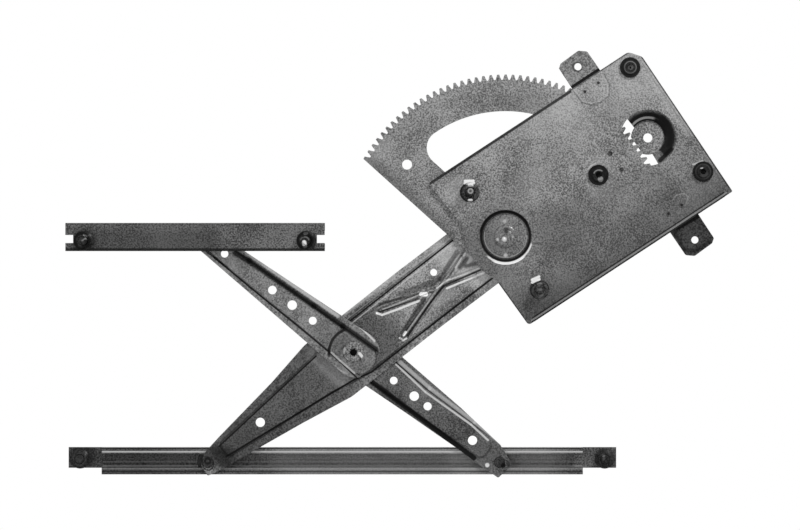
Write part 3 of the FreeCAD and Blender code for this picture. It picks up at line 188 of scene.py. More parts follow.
# %% Lamps
LAMPS = {
    "key": ((0.95, -1.25, 1.15), 0.45, 26.0),
    "fill": ((-1.5, -2.3, 0.1), 1.6, 8.0),
    "back": ((0.3, 2.2, 0.9), 1.6, 14.0),
}
for name, (place, size, power) in LAMPS.items():
    lamp = bpy.data.lights.new(name, "AREA")
    lamp.shape = "DISK"
    lamp.size = size
    lamp.energy = power
    holder = bpy.data.objects.new(name, lamp)
    holder.location = Vector(place)
    holder.rotation_euler = (AIM - Vector(place)).to_track_quat("-Z", "Y").to_euler()
    bpy.context.scene.collection.objects.link(holder)
print("lamps:", ", ".join(LAMPS))

# %% [markdown]
# Several marks below are placed where the picture shows them. One pixel of it is 0.9024 mm on the regulator,
# and the main pivot is its fixed point. The back plate is tilted by 33.25 degrees about that pivot, so things
# on it are easier to say in its own frame: u along its long side, v across.

# %% Places
PIXEL = 0.0009024
PIVOT_ACROSS = 505.5
PIVOT_DOWN = 236.3
TILT = math.radians(33.25)

low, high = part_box("main_pivot_rivet")
PIVOT = ((low[0] + high[0]) / 2, (low[2] + high[2]) / 2)
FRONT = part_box("back_plate_nuts")[1][1]


def seen_at(across, down):
    """X and Z of a point of the picture."""
    return (PIVOT[0] + (across - PIVOT_ACROSS) * PIXEL, PIVOT[1] + (PIVOT_DOWN - down) * PIXEL)


def on_plate(u, v):
    """X and Z of a point in the back plate's frame, given in millimetres."""
    x = PIVOT[0] + (u * math.cos(TILT) - v * math.sin(TILT)) / 1000
    z = PIVOT[1] + (u * math.sin(TILT) + v * math.cos(TILT)) / 1000
    return (x, z)


print("pivot:", [round(value, 4) for value in PIVOT], "plate front at", round(FRONT, 4))

# %% [markdown]
# Zinc plating that has aged a little is not one grey. Close up it is a fine salt-and-pepper grain, and across
# a whole pressing it clouds from lighter to darker. One node group makes both, so that every steel piece
# shares the same character and differs only in its values. It also paints shade on steep walls and cut
# edges, darker the steeper they are: the normal's Y is near one on the flat faces and small on the walls.
# It reads Object coordinates, which stay with the metal when a part moves.

# %% The grain that all plated steel shares
COLOUR = "NodeSocketColor"
NUMBER = "NodeSocketFloat"
VECTOR = "NodeSocketVector"
EASED = {"interpolation_type": "SMOOTHSTEP"}
WALL_FACING = 0.55
FLAT_FACING = 0.97
# The near black that is painted on steep walls as shade.
WALL_SHADE_COLOUR = (0.008, 0.008, 0.008, 1.0)


def new_group(name, inputs, outputs):
    """A shader node group with named sockets, its maker of nodes, and what it is given."""
    group = bpy.data.node_groups.new(name, "ShaderNodeTree")
    for label, kind in inputs:
        group.interface.new_socket(label, in_out="INPUT", socket_type=kind)
    for label, kind in outputs:
        group.interface.new_socket(label, in_out="OUTPUT", socket_type=kind)
    node = maker(group)
    return group, node, node("NodeGroupInput").outputs


numbers = ("Grain Scale", "Grain Amount", "Cloud Scale", "Cloud Amount", "Edge Shade", "Smooth", "Rough")
grain_and_wall_shade_group, node, given = new_group(
    "plated_grain_and_wall_shade",
    [("Light", COLOUR), ("Dark", COLOUR)] + [(label, NUMBER) for label in numbers],
    [("Color", COLOUR), ("Roughness", NUMBER), ("Height", NUMBER)],
)
point = node("ShaderNodeTexCoord").outputs
grain = node(
    "ShaderNodeTexNoise", Vector=point["Object"], Scale=given["Grain Scale"], Detail=2.0, Roughness=0.7
)
cloud = node(
    "ShaderNodeTexNoise", Vector=point["Object"], Scale=given["Cloud Scale"], Detail=5.0, Roughness=0.6
)
fine = maths(node, "SUBTRACT", grain.outputs["Fac"], 0.5)
fine = maths(node, "MULTIPLY", fine, given["Grain Amount"])
broad = maths(node, "SUBTRACT", cloud.outputs["Fac"], 0.5)
broad = maths(node, "MULTIPLY", broad, given["Cloud Amount"])
level = maths(node, "ADD", maths(node, "ADD", fine, broad), 0.5, clamp=True)
# Painted shade: the steeper a face, the more its colour goes towards near black.
facing = maths(node, "ABSOLUTE", node("ShaderNodeSeparateXYZ", Vector=point["Normal"]).outputs["Y"])
flat = node("ShaderNodeMapRange", EASED, Value=facing, From_Min=WALL_FACING, From_Max=FLAT_FACING)
steep = maths(node, "SUBTRACT", 1.0, flat.outputs["Result"])
shade = maths(node, "MULTIPLY", steep, given["Edge Shade"])
tone = node("ShaderNodeMix", {"data_type": "RGBA"}, n0=level, n6=given["Dark"], n7=given["Light"])
wall_shaded_tone = node("ShaderNodeMix", {"data_type": "RGBA"}, n0=shade, n6=tone.outputs[2], n7=WALL_SHADE_COLOUR)
wear = node("ShaderNodeMapRange", Value=level, To_Min=given["Rough"], To_Max=given["Smooth"])
node(
    "NodeGroupOutput",
    Color=wall_shaded_tone.outputs[2],
    Roughness=wear.outputs["Result"],
    Height=grain.outputs["Fac"],
)
print("group:", grain_and_wall_shade_group.name)

# %% [markdown]
# Painted shade and painted highlights are laid on as marks: rings round heads, and strokes along folds,
# seams and edges. Two more groups give the masks for them: a ring about a point, and a stroke between two
# points. Both ignore depth, so they run down the walls as well, and both fade over a soft border. They leave
# the rear of a sheet bare: a mark on the front shouldn't show through. A ring of radius nought is a spot,
# and a ring may be kept to an arc: the cosine between a point's bearing and the arc's middle has to be over
# a least value.

# %% Rings and strokes
DEPTHLESS = (1.0, 0.0, 1.0)
ARC_FADE = 0.12
SIDE_FACING = 0.45
REAR_FACING = 0.75


def not_rear(node):
    """One on faces that look to the front or the side, and nought on those that look to the rear."""
    normal = node("ShaderNodeTexCoord").outputs["Normal"]
    depth = node("ShaderNodeSeparateXYZ", Vector=normal).outputs["Y"]
    mask = node("ShaderNodeMapRange", Value=depth, From_Min=REAR_FACING, From_Max=SIDE_FACING)
    return mask.outputs["Result"]


def in_plane(node, vector):
    """A vector without its depth."""
    return on_vectors(node, "MULTIPLY", vector, DEPTHLESS)["Vector"]


def within(node, given, gap):
    """One inside the mark's half width, and nought past its soft border."""
    border = maths(node, "ADD", given["Half Width"], given["Softness"])
    mask = node("ShaderNodeMapRange", EASED, Value=gap, From_Min=border, From_Max=given["Half Width"])
    return mask.outputs["Result"]


ring_group, node, given = new_group(
    "ring_mark",
    [("Centre", VECTOR), ("Way", VECTOR)]
    + [(label, NUMBER) for label in ("Radius", "Half Width", "Softness", "Least Cosine")],
    [("Mask", NUMBER)],
)
point = node("ShaderNodeTexCoord").outputs["Object"]
offset = in_plane(node, on_vectors(node, "SUBTRACT", point, given["Centre"])["Vector"])
away = on_vectors(node, "LENGTH", offset)["Value"]
bearing = on_vectors(node, "NORMALIZE", offset)["Vector"]
cosine = on_vectors(node, "DOT_PRODUCT", bearing, given["Way"])["Value"]
inside = maths(node, "ADD", given["Least Cosine"], ARC_FADE)
arc = node("ShaderNodeMapRange", EASED, Value=cosine, From_Min=given["Least Cosine"], From_Max=inside)
gap = maths(node, "ABSOLUTE", maths(node, "SUBTRACT", away, given["Radius"]))
kept = maths(node, "MULTIPLY", within(node, given, gap), arc.outputs["Result"])
node("NodeGroupOutput", Mask=maths(node, "MULTIPLY", kept, not_rear(node)))

stroke_group, node, given = new_group(
    "stroke_mark",
    [("Start", VECTOR), ("End", VECTOR), ("Half Width", NUMBER), ("Softness", NUMBER)],
    [("Mask", NUMBER)],
)
point = node("ShaderNodeTexCoord").outputs["Object"]
start = in_plane(node, given["Start"])
run = on_vectors(node, "SUBTRACT", in_plane(node, given["End"]), start)["Vector"]
reach = on_vectors(node, "SUBTRACT", in_plane(node, point), start)["Vector"]
forward = on_vectors(node, "DOT_PRODUCT", reach, run)["Value"]
whole = on_vectors(node, "DOT_PRODUCT", run, run)["Value"]
share = maths(node, "DIVIDE", forward, whole, clamp=True)
foot = node("ShaderNodeVectorMath", {"operation": "SCALE"}, n0=run, Scale=share).outputs["Vector"]
away = on_vectors(node, "DISTANCE", reach, foot)["Value"]
node("NodeGroupOutput", Mask=maths(node, "MULTIPLY", within(node, given, away), not_rear(node)))
print("groups:", ring_group.name, stroke_group.name)

# %% [markdown]
# A mark is a ring or a stroke, a grey, and how far it covers. Greys are given as a picture shows them, from 0
# to 255, and turned into the linear numbers that Blender wants. The makers below give lists, because a bent
# line is several strokes.

# %% Marks


def linear(grey):
    """A picture's grey level as a linear colour."""
    share = grey / 255
    level = share / 12.92 if share <= 0.04045 else ((share + 0.055) / 1.055) ** 2.4
    return (level, level, level, 1.0)


def ring(centre, radius, half, soft, grey, cover, bearing=0.0, spread=None):
    """A ring or arc; lengths in millimetres, bearing and spread in degrees from the X axis."""
    way = math.radians(bearing)
    values = {
        "Way": (math.cos(way), 0.0, math.sin(way)),
        "Least Cosine": -2.0 if spread is None else math.cos(math.radians(spread)),
        "Centre": (centre[0], 0.0, centre[1]),
        "Radius": radius / 1000,
        "Half Width": half / 1000,
        "Softness": soft / 1000,
    }
    return [(ring_group, values, grey, cover)]


def spot(centre, half, soft, grey, cover):
    """A round mark at a point of the picture."""
    return ring(seen_at(*centre), 0.0, half, soft, grey, cover)


def stroke(start, end, half, soft, grey, cover):
    """A straight mark with round ends; lengths in millimetres."""
    values = {
        "Start": (start[0], 0.0, start[1]),
        "End": (end[0], 0.0, end[1]),
        "Half Width": half / 1000,
        "Softness": soft / 1000,
    }
    return [(stroke_group, values, grey, cover)]


def along(points, *values):
    """Strokes that follow a row of the picture's points."""
    places = [seen_at(*point) for point in points]
    return [mark for ends in zip(places, places[1:]) for mark in stroke(*ends, *values)]


def gathered(named):
    """One list from a table of named marks, in the order in which they are laid on."""
    return [mark for marks in named.values() for mark in marks]


print("a middle grey of 118 is", round(linear(118)[0], 3))

# %% [markdown]
# The back plate is the lightest pressing. Its marks are mostly painted light and shade. Painted shade lies on
# the floor of the round bead about the pivot, along its rounded upper edge and its other edges, on the fold
# line above its lower flange, in the upper right half of the pinion cup, round each nut and collar, round two
# small dimples by the cup, and on wide patches of the sheet. Painted highlights lie on the bead's rims, the
# lower flange, the cup's upper wall, the collars' edges and wide patches, and as glints by the nuts and the
# rivet. Round each tab that is riveted behind it, a faint dark and light line paint the shade and highlight
# on the edge of the pad pressed there, and dark spots mark the tabs' rivets.

# %% Marks on the back plate
CUP = seen_at(648.2, 137.0)

# Painted glints: bright strokes on the plate nuts' flanges and the plate above them, where the key lamp would
# glint.
glints = gathered({
    "upper nut, outer": along([(465.0, 181.0), (473.4, 180.8)], 0.8, 0.7, 240, 1.0),
    "upper nut, inner": along([(464.8, 183.2), (473.8, 183.0)], 0.8, 0.7, 240, 1.0),
    "lower nut, outer": along([(532.0, 279.8), (539.0, 276.6)], 0.8, 0.7, 240, 1.0),
    "lower nut, inner": along([(532.2, 282.4), (539.2, 279.2)], 0.8, 0.7, 240, 1.0),
})
plate_marks = gathered({
    "shade on the right": spot((700, 175), 8.0, 50.0, 52, 0.16),
    "light at the top corner": spot((622, 78), 10.0, 40.0, 205, 0.22),
    "light along the upper edge": along([(520, 125), (570, 98)], 4.0, 18.0, 200, 0.24),
    "light over the pivot": spot((530, 182), 6.0, 16.0, 200, 0.16),
    "light under the tab": spot((578, 126), 8.0, 18.0, 205, 0.2),
    "light round the middle collar": along([(600, 165), (600, 190)], 6.0, 12.0, 200, 0.18),
    "light by the upper nut": spot((460, 192), 8.0, 12.0, 200, 0.28),
    "light along the right edge": along([(655, 78), (690, 130)], 2.0, 8.0, 200, 0.3),
    "shade right of the cup": spot((681, 150), 4.0, 14.0, 70, 0.2),
    "light by the lower nut": along([(515, 290), (560, 290)], 4.0, 14.0, 200, 0.16),
    "light at the right corner": along([(690, 210), (715, 170)], 6.0, 16.0, 190, 0.2),
    "shade left of the middle collar": along([(500, 200), (560, 150)], 6.0, 18.0, 60, 0.16),
    "shade right of the pivot": along([(505, 226), (560, 232)], 12.0, 26.0, 56, 0.3),
    "shade under the middle collar": along([(560, 232), (655, 188)], 12.0, 22.0, 56, 0.32),
    "shade left of the cup": spot((618, 113), 6.0, 14.0, 60, 0.22),
    "shade at the lower corner": spot((545, 310), 20.0, 50.0, 48, 0.26),
    "shade at the left edge": spot((478, 262), 14.0, 40.0, 56, 0.55),
    "shade towards the lower edge": along([(540, 320), (735, 200)], 4.0, 56.0, 40, 0.62),
    # From here on: painted shade and highlights of the bead, the plate's edges and the cup, and painted
    # highlights on the collars' edges.
    "floor of the bead": ring(PIVOT, 21.8, 0.6, 1.2, 8, 0.98),
    "bead, wider above": ring(PIVOT, 22.5, 0.9, 1.0, 8, 0.94, 100.0, 75.0),
    "bead, bright inner rim below": ring(PIVOT, 19.3, 0.15, 0.6, 170, 0.6, -95.0, 100.0),
    "bead, bright outer rim below": ring(PIVOT, 24.5, 0.8, 0.6, 255, 1.0, -82.0, 40.0),
    "bead, ends of the outer rim": ring(PIVOT, 24.2, 0.4, 0.8, 235, 0.85, -74.0, 62.0),
    "glint over the rivet": spot((504.5, 221.2), 0.6, 2.2, 200, 0.6),
    "glint under the rivet": spot((505.5, 255.2), 1.0, 1.4, 200, 0.7),
    "upper edge, left": stroke(on_plate(-31.0, 77.3), on_plate(120.0, 77.3), 1.0, 0.9, 18, 0.9),
    "upper edge, right": stroke(on_plate(120.0, 77.9), on_plate(186.0, 77.9), 0.4, 0.6, 40, 0.7),
    "lower flange, dark": stroke(on_plate(-22.0, -77.8), on_plate(188.0, -77.8), 0.4, 0.4, 12, 0.9),
    "lower flange, bright": stroke(on_plate(-22.0, -76.3), on_plate(188.0, -76.3), 0.3, 0.5, 170, 0.6),
    "lower fold": stroke(on_plate(-20.0, -74.8), on_plate(186.0, -74.8), 0.25, 0.6, 10, 0.85),
    "right edge": stroke(on_plate(192.6, -74.0), on_plate(191.4, 68.0), 0.35, 0.5, 30, 0.8),
    "beside the right edge": stroke(on_plate(189.8, -70.0), on_plate(188.8, 62.0), 0.1, 0.9, 70, 0.35),
    "left edge": stroke(on_plate(-26.6, -74.0), on_plate(-28.0, -32.0), 0.4, 0.6, 26, 0.8),
    "cup, foot of the wall": ring(CUP, 15.9, 0.45, 0.6, 6, 0.97, 95.0, 92.0),
    "cup, foot at the upper right": ring(CUP, 16.6, 1.2, 0.8, 8, 0.92, 40.0, 40.0),
    "cup, upper wall": ring(CUP, 20.4, 0.9, 3.6, 8, 0.97, 65.0, 95.0),
    "cup, right wall": ring(CUP, 19.4, 3.3, 2.6, 24, 0.95, 5.0, 58.0),
    "cup, end of the right wall": along([(671, 149.5), (660, 160.5)], 1.2, 1.6, 8, 0.92),
    "cup, light on the upper wall": ring(CUP, 17.7, 0.5, 0.9, 190, 0.75, 106.0, 40.0),
    "cup, lower left mouth": ring(CUP, 26.4, 0.4, 1.4, 30, 0.4, 212.0, 22.0),
    "small ring by the cup, upper": ring(seen_at(610.0, 153.6), 1.6, 0.4, 0.9, 44, 0.8),
    "small ring by the cup, lower": ring(seen_at(621.5, 169.5), 1.3, 0.5, 0.9, 44, 0.7),
    "edge of the middle collar": ring(seen_at(598.3, 174.8), 10.4, 0.3, 0.8, 200, 0.7, 128.0, 34.0),
    # Painted shade and highlight on the edge of the pad pressed round each tab.
    "upper tab's pad, painted shade": along(
        [(573, 91), (582, 103), (591, 105), (600, 103), (609, 96), (609.5, 85), (604, 74)], 0.1, 0.9, 62, 0.5
    ),
    "upper tab's pad, painted highlight": along(
        [(574, 89.5), (583, 101.3), (591, 103.3), (599, 101.3), (607.3, 95), (607.8, 85.5), (602, 75)],
        0.1, 0.8, 190, 0.38,
    ),
    "lower tab's pad, painted highlight": along(
        [(672, 201), (676, 195), (684, 193.5), (688, 197), (686, 203)], 0.1, 0.8, 176, 0.3
    ),
    "edge of the right collar": along([(693, 164.6), (697, 163.4), (702, 161.2)], 0.5, 0.7, 205, 0.7),
    "glints by the nuts": glints,
    "upper tab, left rivet": ring(on_plate(131.4, 69.8), 0.0, 1.0, 0.8, 12, 0.9),
    "upper tab, right rivet": ring(on_plate(145.8, 69.8), 0.0, 1.0, 0.8, 12, 0.9),
    "lower tab, left rivet": ring(on_plate(133.9, -63.5), 0.0, 1.0, 0.8, 12, 0.9),
    "lower tab, right rivet": ring(on_plate(148.3, -63.5), 0.0, 1.0, 0.8, 12, 0.9),
})
print("marks on the plate:", len(plate_marks))

# %% [markdown]
# The arms are folded pressings. Each fold gets a painted dark line of shade, and the side of a fold that
# faces the lamp a painted bright line of light next to it; the ribs get painted shade on their walls and
# painted highlights on their crests and edges. The renderer holds every waiting mask in a small stack and
# paints a material black when it overflows, at about sixty strokes, so a long line here gets few segments.

# %% Marks on the arms
HUB = seen_at(353.3, 352.4)
CROSS_STUD = seen_at(503.5, 466.0)

# All of these are painted light and shade: spots and strokes of shade, and of light, highlights and glints.
lift_marks = gathered({
    "shade on the lower half": spot((285, 410), 50.0, 55.0, 0, 0.67),
    "shade round the crossing": spot((372, 340), 16.0, 30.0, 0, 0.64),
    "light under the crossing": along([(314, 354), (342, 379)], 2.5, 9.0, 200, 0.2),
    "light on the upper flange": along([(343, 313), (392, 277)], 1.2, 3.5, 215, 0.4),
    "light by the back plate": along([(442, 252), (480, 274)], 4.0, 16.0, 210, 0.42),
    "light over the lower fold": along([(450, 292), (436, 302)], 2.0, 8.0, 190, 0.3),
    "shade on the lower flange": along([(430, 326), (470, 298)], 2.0, 10.0, 60, 0.25),
    "shade on the foot": spot((238, 438), 10.0, 24.0, 40, 0.4),
    "shade at the roller": along([(204, 456), (224, 458)], 6.0, 9.0, 20, 0.75),
    "ring at the roller": ring(seen_at(207.6, 465.2), 4.9, 0.3, 0.6, 12, 0.8),
    "upper fold": along([(349, 321.8), (452.6, 240.4)], 0.55, 0.5, 6, 0.97),
    "light inside the upper fold": along([(352, 323.0), (454.6, 242.2)], 0.1, 0.7, 205, 0.6),
    "light outside the upper fold": along([(347, 319.2), (449.5, 238.8)], 0.1, 0.6, 190, 0.5),
    "upper fold of the foot": along([(316, 356.2), (219, 446.5)], 0.45, 0.5, 6, 0.94),
    "lower fold": along(
        [(226, 456.7), (353.7, 379.9), (371.6, 372.2), (465.8, 298.6), (494, 277.0)], 0.55, 0.6, 6, 0.95
    ),
    "wall above the crossed ribs": along([(400, 294), (440, 279), (457, 252)], 1.2, 2.0, 34, 0.62),
    "left rib, upper wall": along([(379.5, 304), (420, 293.6)], 0.6, 1.2, 30, 0.7),
    "left rib, crest": along([(382.8, 309.5), (400, 303.2), (420, 294.2)], 0.1, 0.7, 180, 0.75),
    "left rib, glint at its inner end": along([(421.5, 294.2), (426.0, 294.2)], 1.6, 0.8, 255, 1.0),
    "left rib, lower wall": along([(380, 311.8), (419, 298.6)], 0.3, 0.9, 14, 0.85),
    "left rib, lower edge": along(
        [(376.8, 313), (382, 315), (400, 308.4), (419.5, 300.8)], 0.6, 0.7, 235, 0.95
    ),
    "lower rib, left wall": along([(423.5, 300), (404, 332)], 1.6, 1.6, 28, 0.7),
    "lower rib, crest": along([(438, 286.6), (426, 305), (406, 333.5)], 0.15, 0.8, 165, 0.75),
    "lower rib, right wall": along([(443.5, 286), (431, 302), (408, 335.5)], 0.6, 0.9, 6, 0.95),
    "lower rib, right edge": along([(446, 289), (413.5, 333)], 0.1, 0.9, 165, 0.5),
    "lower rib, glint": along([(405.6, 332.2), (403.8, 335)], 0.8, 0.7, 255, 0.95),
    "lower rib, bright end": along([(399.8, 338), (403, 340.3), (406.5, 338.6)], 0.5, 0.7, 225, 0.95),
    "right rib, upper edge": along([(437, 288), (447, 280.4), (482, 267.2)], 0.4, 0.7, 215, 0.9),
    "right rib, wall": along([(444, 286), (456, 280.6), (484, 268.4)], 0.5, 0.8, 16, 0.9),
    "right rib, lower edge": along([(447, 288.4), (464, 281.2), (488, 270.8)], 0.6, 0.7, 228, 0.95),
    "upper rib, wall": along([(451, 273), (464, 251)], 0.3, 1.6, 34, 0.6),
    "between the ribs, left": along([(460, 267), (467, 259)], 0.8, 3.0, 26, 0.75),
    "between the ribs, below": along([(466, 266), (481, 262)], 0.6, 2.6, 30, 0.7),
    "upper rib, edge": along([(455.6, 267.6), (465.2, 253.4)], 0.4, 0.7, 222, 0.9),
    "between the ribs, glint": along([(468, 263), (471, 257.5)], 0.5, 1.2, 190, 0.75),
})
# The cross arms' marks are painted light and shade as well.
upper_marks = gathered({
    "shade on the boss": ring(HUB, 0.0, 16.0, 8.0, 64, 0.26),
    "dark edge of the boss": ring(HUB, 21.8, 0.8, 1.0, 8, 0.96, 148.0, 46.0),
    "light at the roller's end": spot((226, 262), 6.0, 16.0, 190, 0.25),
    "bright edge of the boss": ring(HUB, 19.9, 0.2, 0.7, 190, 0.5, 238.0, 26.0),
    "lower fold": along(
        [(213.8, 257), (245, 283), (270, 303.5), (295, 323.5), (315, 340), (335, 357), (356.4, 377.2)],
        0.5, 0.6, 6, 0.95,
    ),
    "light over the lower fold": along(
        [(331.5, 352.5), (340, 360.5), (347, 366.5), (354.5, 373)], 0.4, 0.8, 190, 0.75
    ),
    "upper fold": along(
        [(235.4, 253), (249, 261), (313.8, 305.6), (342.8, 326), (375.8, 349.5)], 1.5, 2.2, 10, 0.9
    ),
    "light on the upper lip": along([(243, 250.0), (338, 316.0)], 0.9, 1.4, 200, 0.65),
    "shade before the boss": along([(318, 330), (345, 345)], 3.0, 12.0, 56, 0.3),
    "light beside the boss": along([(359.5, 326.4), (366, 332.4), (374.5, 341)], 0.4, 0.9, 215, 0.8),
})
# Painted shade in the stud's hole and on the lower lip and folds, painted light and glints beside them.
lower_marks = gathered({
    "glint at the foot": spot((487.5, 465.6), 1.5, 0.9, 245, 0.9),
    "shade in the stud's hole": ring(CROSS_STUD, 0.0, 1.8, 1.0, 6, 0.96),
    "ring round the stud": ring(CROSS_STUD, 5.2, 0.2, 1.0, 24, 0.6, -20.0, 100.0),
    "shade at the foot": spot((488, 454), 6.0, 12.0, 50, 0.3),
    "shade on the lower lip": along([(382, 391), (455, 445)], 1.5, 5.0, 40, 0.35),
    "light under the upper fold": along(
        [(396.3, 364.7), (425.4, 392.2), (471.3, 425), (488.3, 440.6)], 0.5, 0.8, 210, 0.8
    ),
    "upper fold": along([(395.5, 361.6), (427.5, 389), (473.5, 423), (490.5, 436.4)], 0.8, 0.7, 8, 0.94),
    "light on the upper lip": along(
        [(399, 361.5), (430, 388.5), (475, 422.5), (499, 441.5)], 0.9, 1.6, 200, 0.6
    ),
    "lower fold": along([(371, 381.5), (474, 458.5)], 1.7, 1.3, 6, 0.96),
})
print("marks on the arms:", len(lift_marks), len(upper_marks), len(lower_marks))

# %% [markdown]
# The channels are darker than the rest. Rolled beads run along the sash channel, and painted light and dark
# lines along them stand for the light they catch; both channels get painted shade along their bottom edges
# and round their nuts, and the sash channel painted light along its middle. The sector has three marks of
# painted light and shade, and each mount tab a painted shadow line where it goes behind the back plate.

# %% Marks on the sector, channels and tabs
BEAD_START = 101.5
BEAD_END = 583.0


def bead_line(down, half, grey, cover):
    """A level line along the sash channel."""
    return along([(BEAD_START, down), (BEAD_END, down)], half, 0.7, grey, cover)


sector_marks = gathered({
    "light at the left": along([(370, 160), (386, 146)], 3.0, 10.0, 200, 0.25),
    "shade at the lower edge": along([(364, 158), (448, 236)], 2.0, 12.0, 50, 0.45),
    "shade under the teeth": along([(505, 104), (535, 100)], 3.0, 12.0, 60, 0.25),
})
sash_marks = gathered({
    "light in the middle": along([(300, 459), (530, 459)], 10.0, 34.0, 165, 0.42),
    "light at the right": spot((463, 461), 6.0, 14.0, 190, 0.25),
    "shade at the left": spot((140, 457), 20.0, 45.0, 34, 0.45),
    "shade under the top edge": bead_line(446.6, 2.2, 12, 0.95),
    "upper bead, light": bead_line(452.4, 0.35, 205, 0.75),
    "upper bead, dark": bead_line(455.0, 0.3, 24, 0.5),
    "middle line, dark": bead_line(461.0, 0.2, 24, 0.25),
    "middle line, light": bead_line(463.0, 0.2, 150, 0.25),
    "lower bead, dark": bead_line(465.0, 0.2, 24, 0.3),
    "lower bead, light": bead_line(467.2, 0.3, 170, 0.55),
    "lower edge, light": bead_line(469.4, 0.3, 150, 0.35),
    "lower edge, dark": bead_line(472.2, 0.5, 12, 0.7),
    "shade at the left nut": spot((80, 457), 8.0, 9.0, 22, 0.75),
    "shade at the right nut": spot((606, 460), 6.0, 9.0, 26, 0.6),
})
guide_marks = gathered({
    "shade on the left": along([(95, 243), (205, 244)], 5.0, 18.0, 30, 0.5),
    "shade at the left nut": spot((84, 241), 8.0, 7.0, 22, 0.6),
    "shade at the right nut": spot((305.4, 241), 8.0, 3.0, 40, 0.3),
    "lower edge": along([(67, 249.8), (324, 249.8)], 0.9, 0.9, 10, 0.85),
    "upper edge": along([(67, 224.6), (324, 224.6)], 0.2, 0.6, 40, 0.3),
})
upper_tab_marks = gathered({
    "painted shadow at the plate": along([(571.4, 87.6), (599.4, 69.1)], 1.2, 0.5, 6, 0.97),
    "round the hole": ring(seen_at(577.3, 66.9), 4.0, 0.3, 0.9, 30, 0.7),
})
lower_tab_marks = gathered({
    "painted shadow at the plate": along([(677, 228.5), (703, 213.5)], 1.3, 0.8, 6, 0.9),
    "outer edge": along([(675, 232), (684, 250), (697, 250), (710, 241)], 0.6, 2.0, 12, 0.6),
})
print("marks on the channels:", len(sash_marks) + len(guide_marks))

# %% [markdown]
# The turned and formed hardware has its own small marks: painted highlights and glints where the lamp catches
# its rims, ends and stakes, and painted shade in its holes, rims and corners.

# %% Marks on the hardware
TOP_COLLAR = seen_at(630.0, 67.6)
MIDDLE_COLLAR = seen_at(598.3, 174.8)
RIGHT_COLLAR = seen_at(702.9, 171.7)
HUB_HOLE = seen_at(353.4, 352.6)

# Painted light and shade on the collars: shade on their rims, light on their necks and in their holes, a
# glint.
collar_marks = gathered({
    "top, rim": ring(TOP_COLLAR, 7.4, 0.7, 0.8, 10, 0.8),
    "middle, rim": ring(MIDDLE_COLLAR, 7.4, 0.9, 0.8, 8, 0.8),
    "right, rim": ring(RIGHT_COLLAR, 8.0, 0.5, 0.8, 8, 0.8),
    "top, neck": ring(TOP_COLLAR, 5.3, 0.2, 0.5, 120, 0.8),
    "top, bright hole": ring(seen_at(630.3, 67.6), 1.6, 0.3, 0.7, 235, 0.9),
    "middle, neck": ring(seen_at(598.6, 175.6), 4.9, 0.2, 0.6, 150, 0.75, 105.0, 58.0),
    "middle, light in the hole": spot((600.2, 179.2), 2.0, 0.9, 150, 0.85),
    "right, neck": ring(RIGHT_COLLAR, 6.6, 0.2, 0.7, 62, 0.7),
    "right, light in the hole": spot((704.0, 174.5), 2.0, 3.0, 74, 0.6),
    "right, glint": along([(700.4, 168.4), (702.2, 168.2)], 0.2, 0.5, 215, 0.95),
})
# Painted glints and highlights on the nuts and their studs' ends, and painted shade at the edges of the
# flanges.
nut_marks = gathered({
    "glints by the nuts": glints,
    "upper, glint over the stud": along([(468.8, 185.5), (472, 185.5)], 0.7, 0.6, 235, 0.95),
    "upper, glint on the flange": along([(469.0, 200.4), (471.4, 200.4)], 0.9, 0.6, 255, 1.0),
    "lower, glint over the stud": along([(537.8, 284.3), (540.2, 283.5)], 0.7, 0.9, 130, 0.7),
    "upper, stud's end": ring(seen_at(470.2, 191.3), 1.9, 0.4, 0.5, 160, 0.85),
    "upper, light on the hexagon": ring(seen_at(470.5, 191.5), 5.2, 0.3, 0.8, 110, 0.6, 100.0, 50.0),
    "lower, stud's end": spot((540.0, 289.6), 0.5, 1.4, 110, 0.75),
    "lower, light on the flange": spot((541.0, 297.0), 1.4, 2.2, 104, 0.8),
    "upper, edge of the flange": ring(seen_at(470.5, 192.0), 8.6, 0.3, 0.7, 16, 0.7),
    "lower, edge of the flange": ring(seen_at(540.3, 291.0), 8.6, 0.3, 0.7, 16, 0.7),
})
# The dark nuts get painted glints and light on their studs, flanges and mouths, and painted shade on their
# hexagons.
dark_nut_marks = gathered({
    "guide left, glint": along([(85.6, 235.0), (88.4, 236.4)], 0.5, 0.6, 245, 0.95),
    "guide left, stud": along([(84.4, 240.8), (87.6, 238.6), (89.4, 239.6)], 0.2, 0.7, 130, 0.8),
    "guide left, flange": along([(80.6, 246.4), (83.0, 247.4)], 0.6, 0.8, 120, 0.8),
    "guide right, glint": along([(305.0, 233.6), (307.4, 233.6)], 0.8, 0.6, 215, 0.95),
    "guide right, stud": along([(304.8, 242.6), (305.4, 246.0)], 1.4, 1.2, 235, 0.95),
    "guide right, hexagon": ring(seen_at(305.4, 240.4), 6.4, 0.9, 1.2, 8, 0.9),
    "guide right, mouth": ring(seen_at(305.4, 241.4), 3.9, 0.2, 0.7, 120, 0.7, 90.0, 80.0),
    "guide left, hexagon": ring(seen_at(83.4, 240.6), 6.4, 0.9, 1.2, 8, 0.9),
    "sash left, mouth": ring(seen_at(78.8, 454.6), 5.2, 0.3, 0.8, 58, 0.7),
    "sash right, glint": spot((604.4, 456.4), 0.6, 1.4, 112, 0.8),
    "sash right, stud": spot((604.6, 459.6), 0.5, 1.2, 84, 0.7),
})
# Painted shade in the cross arm stud's hole and round the lift arm stud's button.
stud_marks = gathered({
    "cross arm, shade in the hole": ring(CROSS_STUD, 0.0, 1.8, 1.0, 6, 0.96),
    "lift arm, ring": ring(seen_at(207.2, 461.6), 2.4, 0.5, 0.9, 12, 0.85),
})
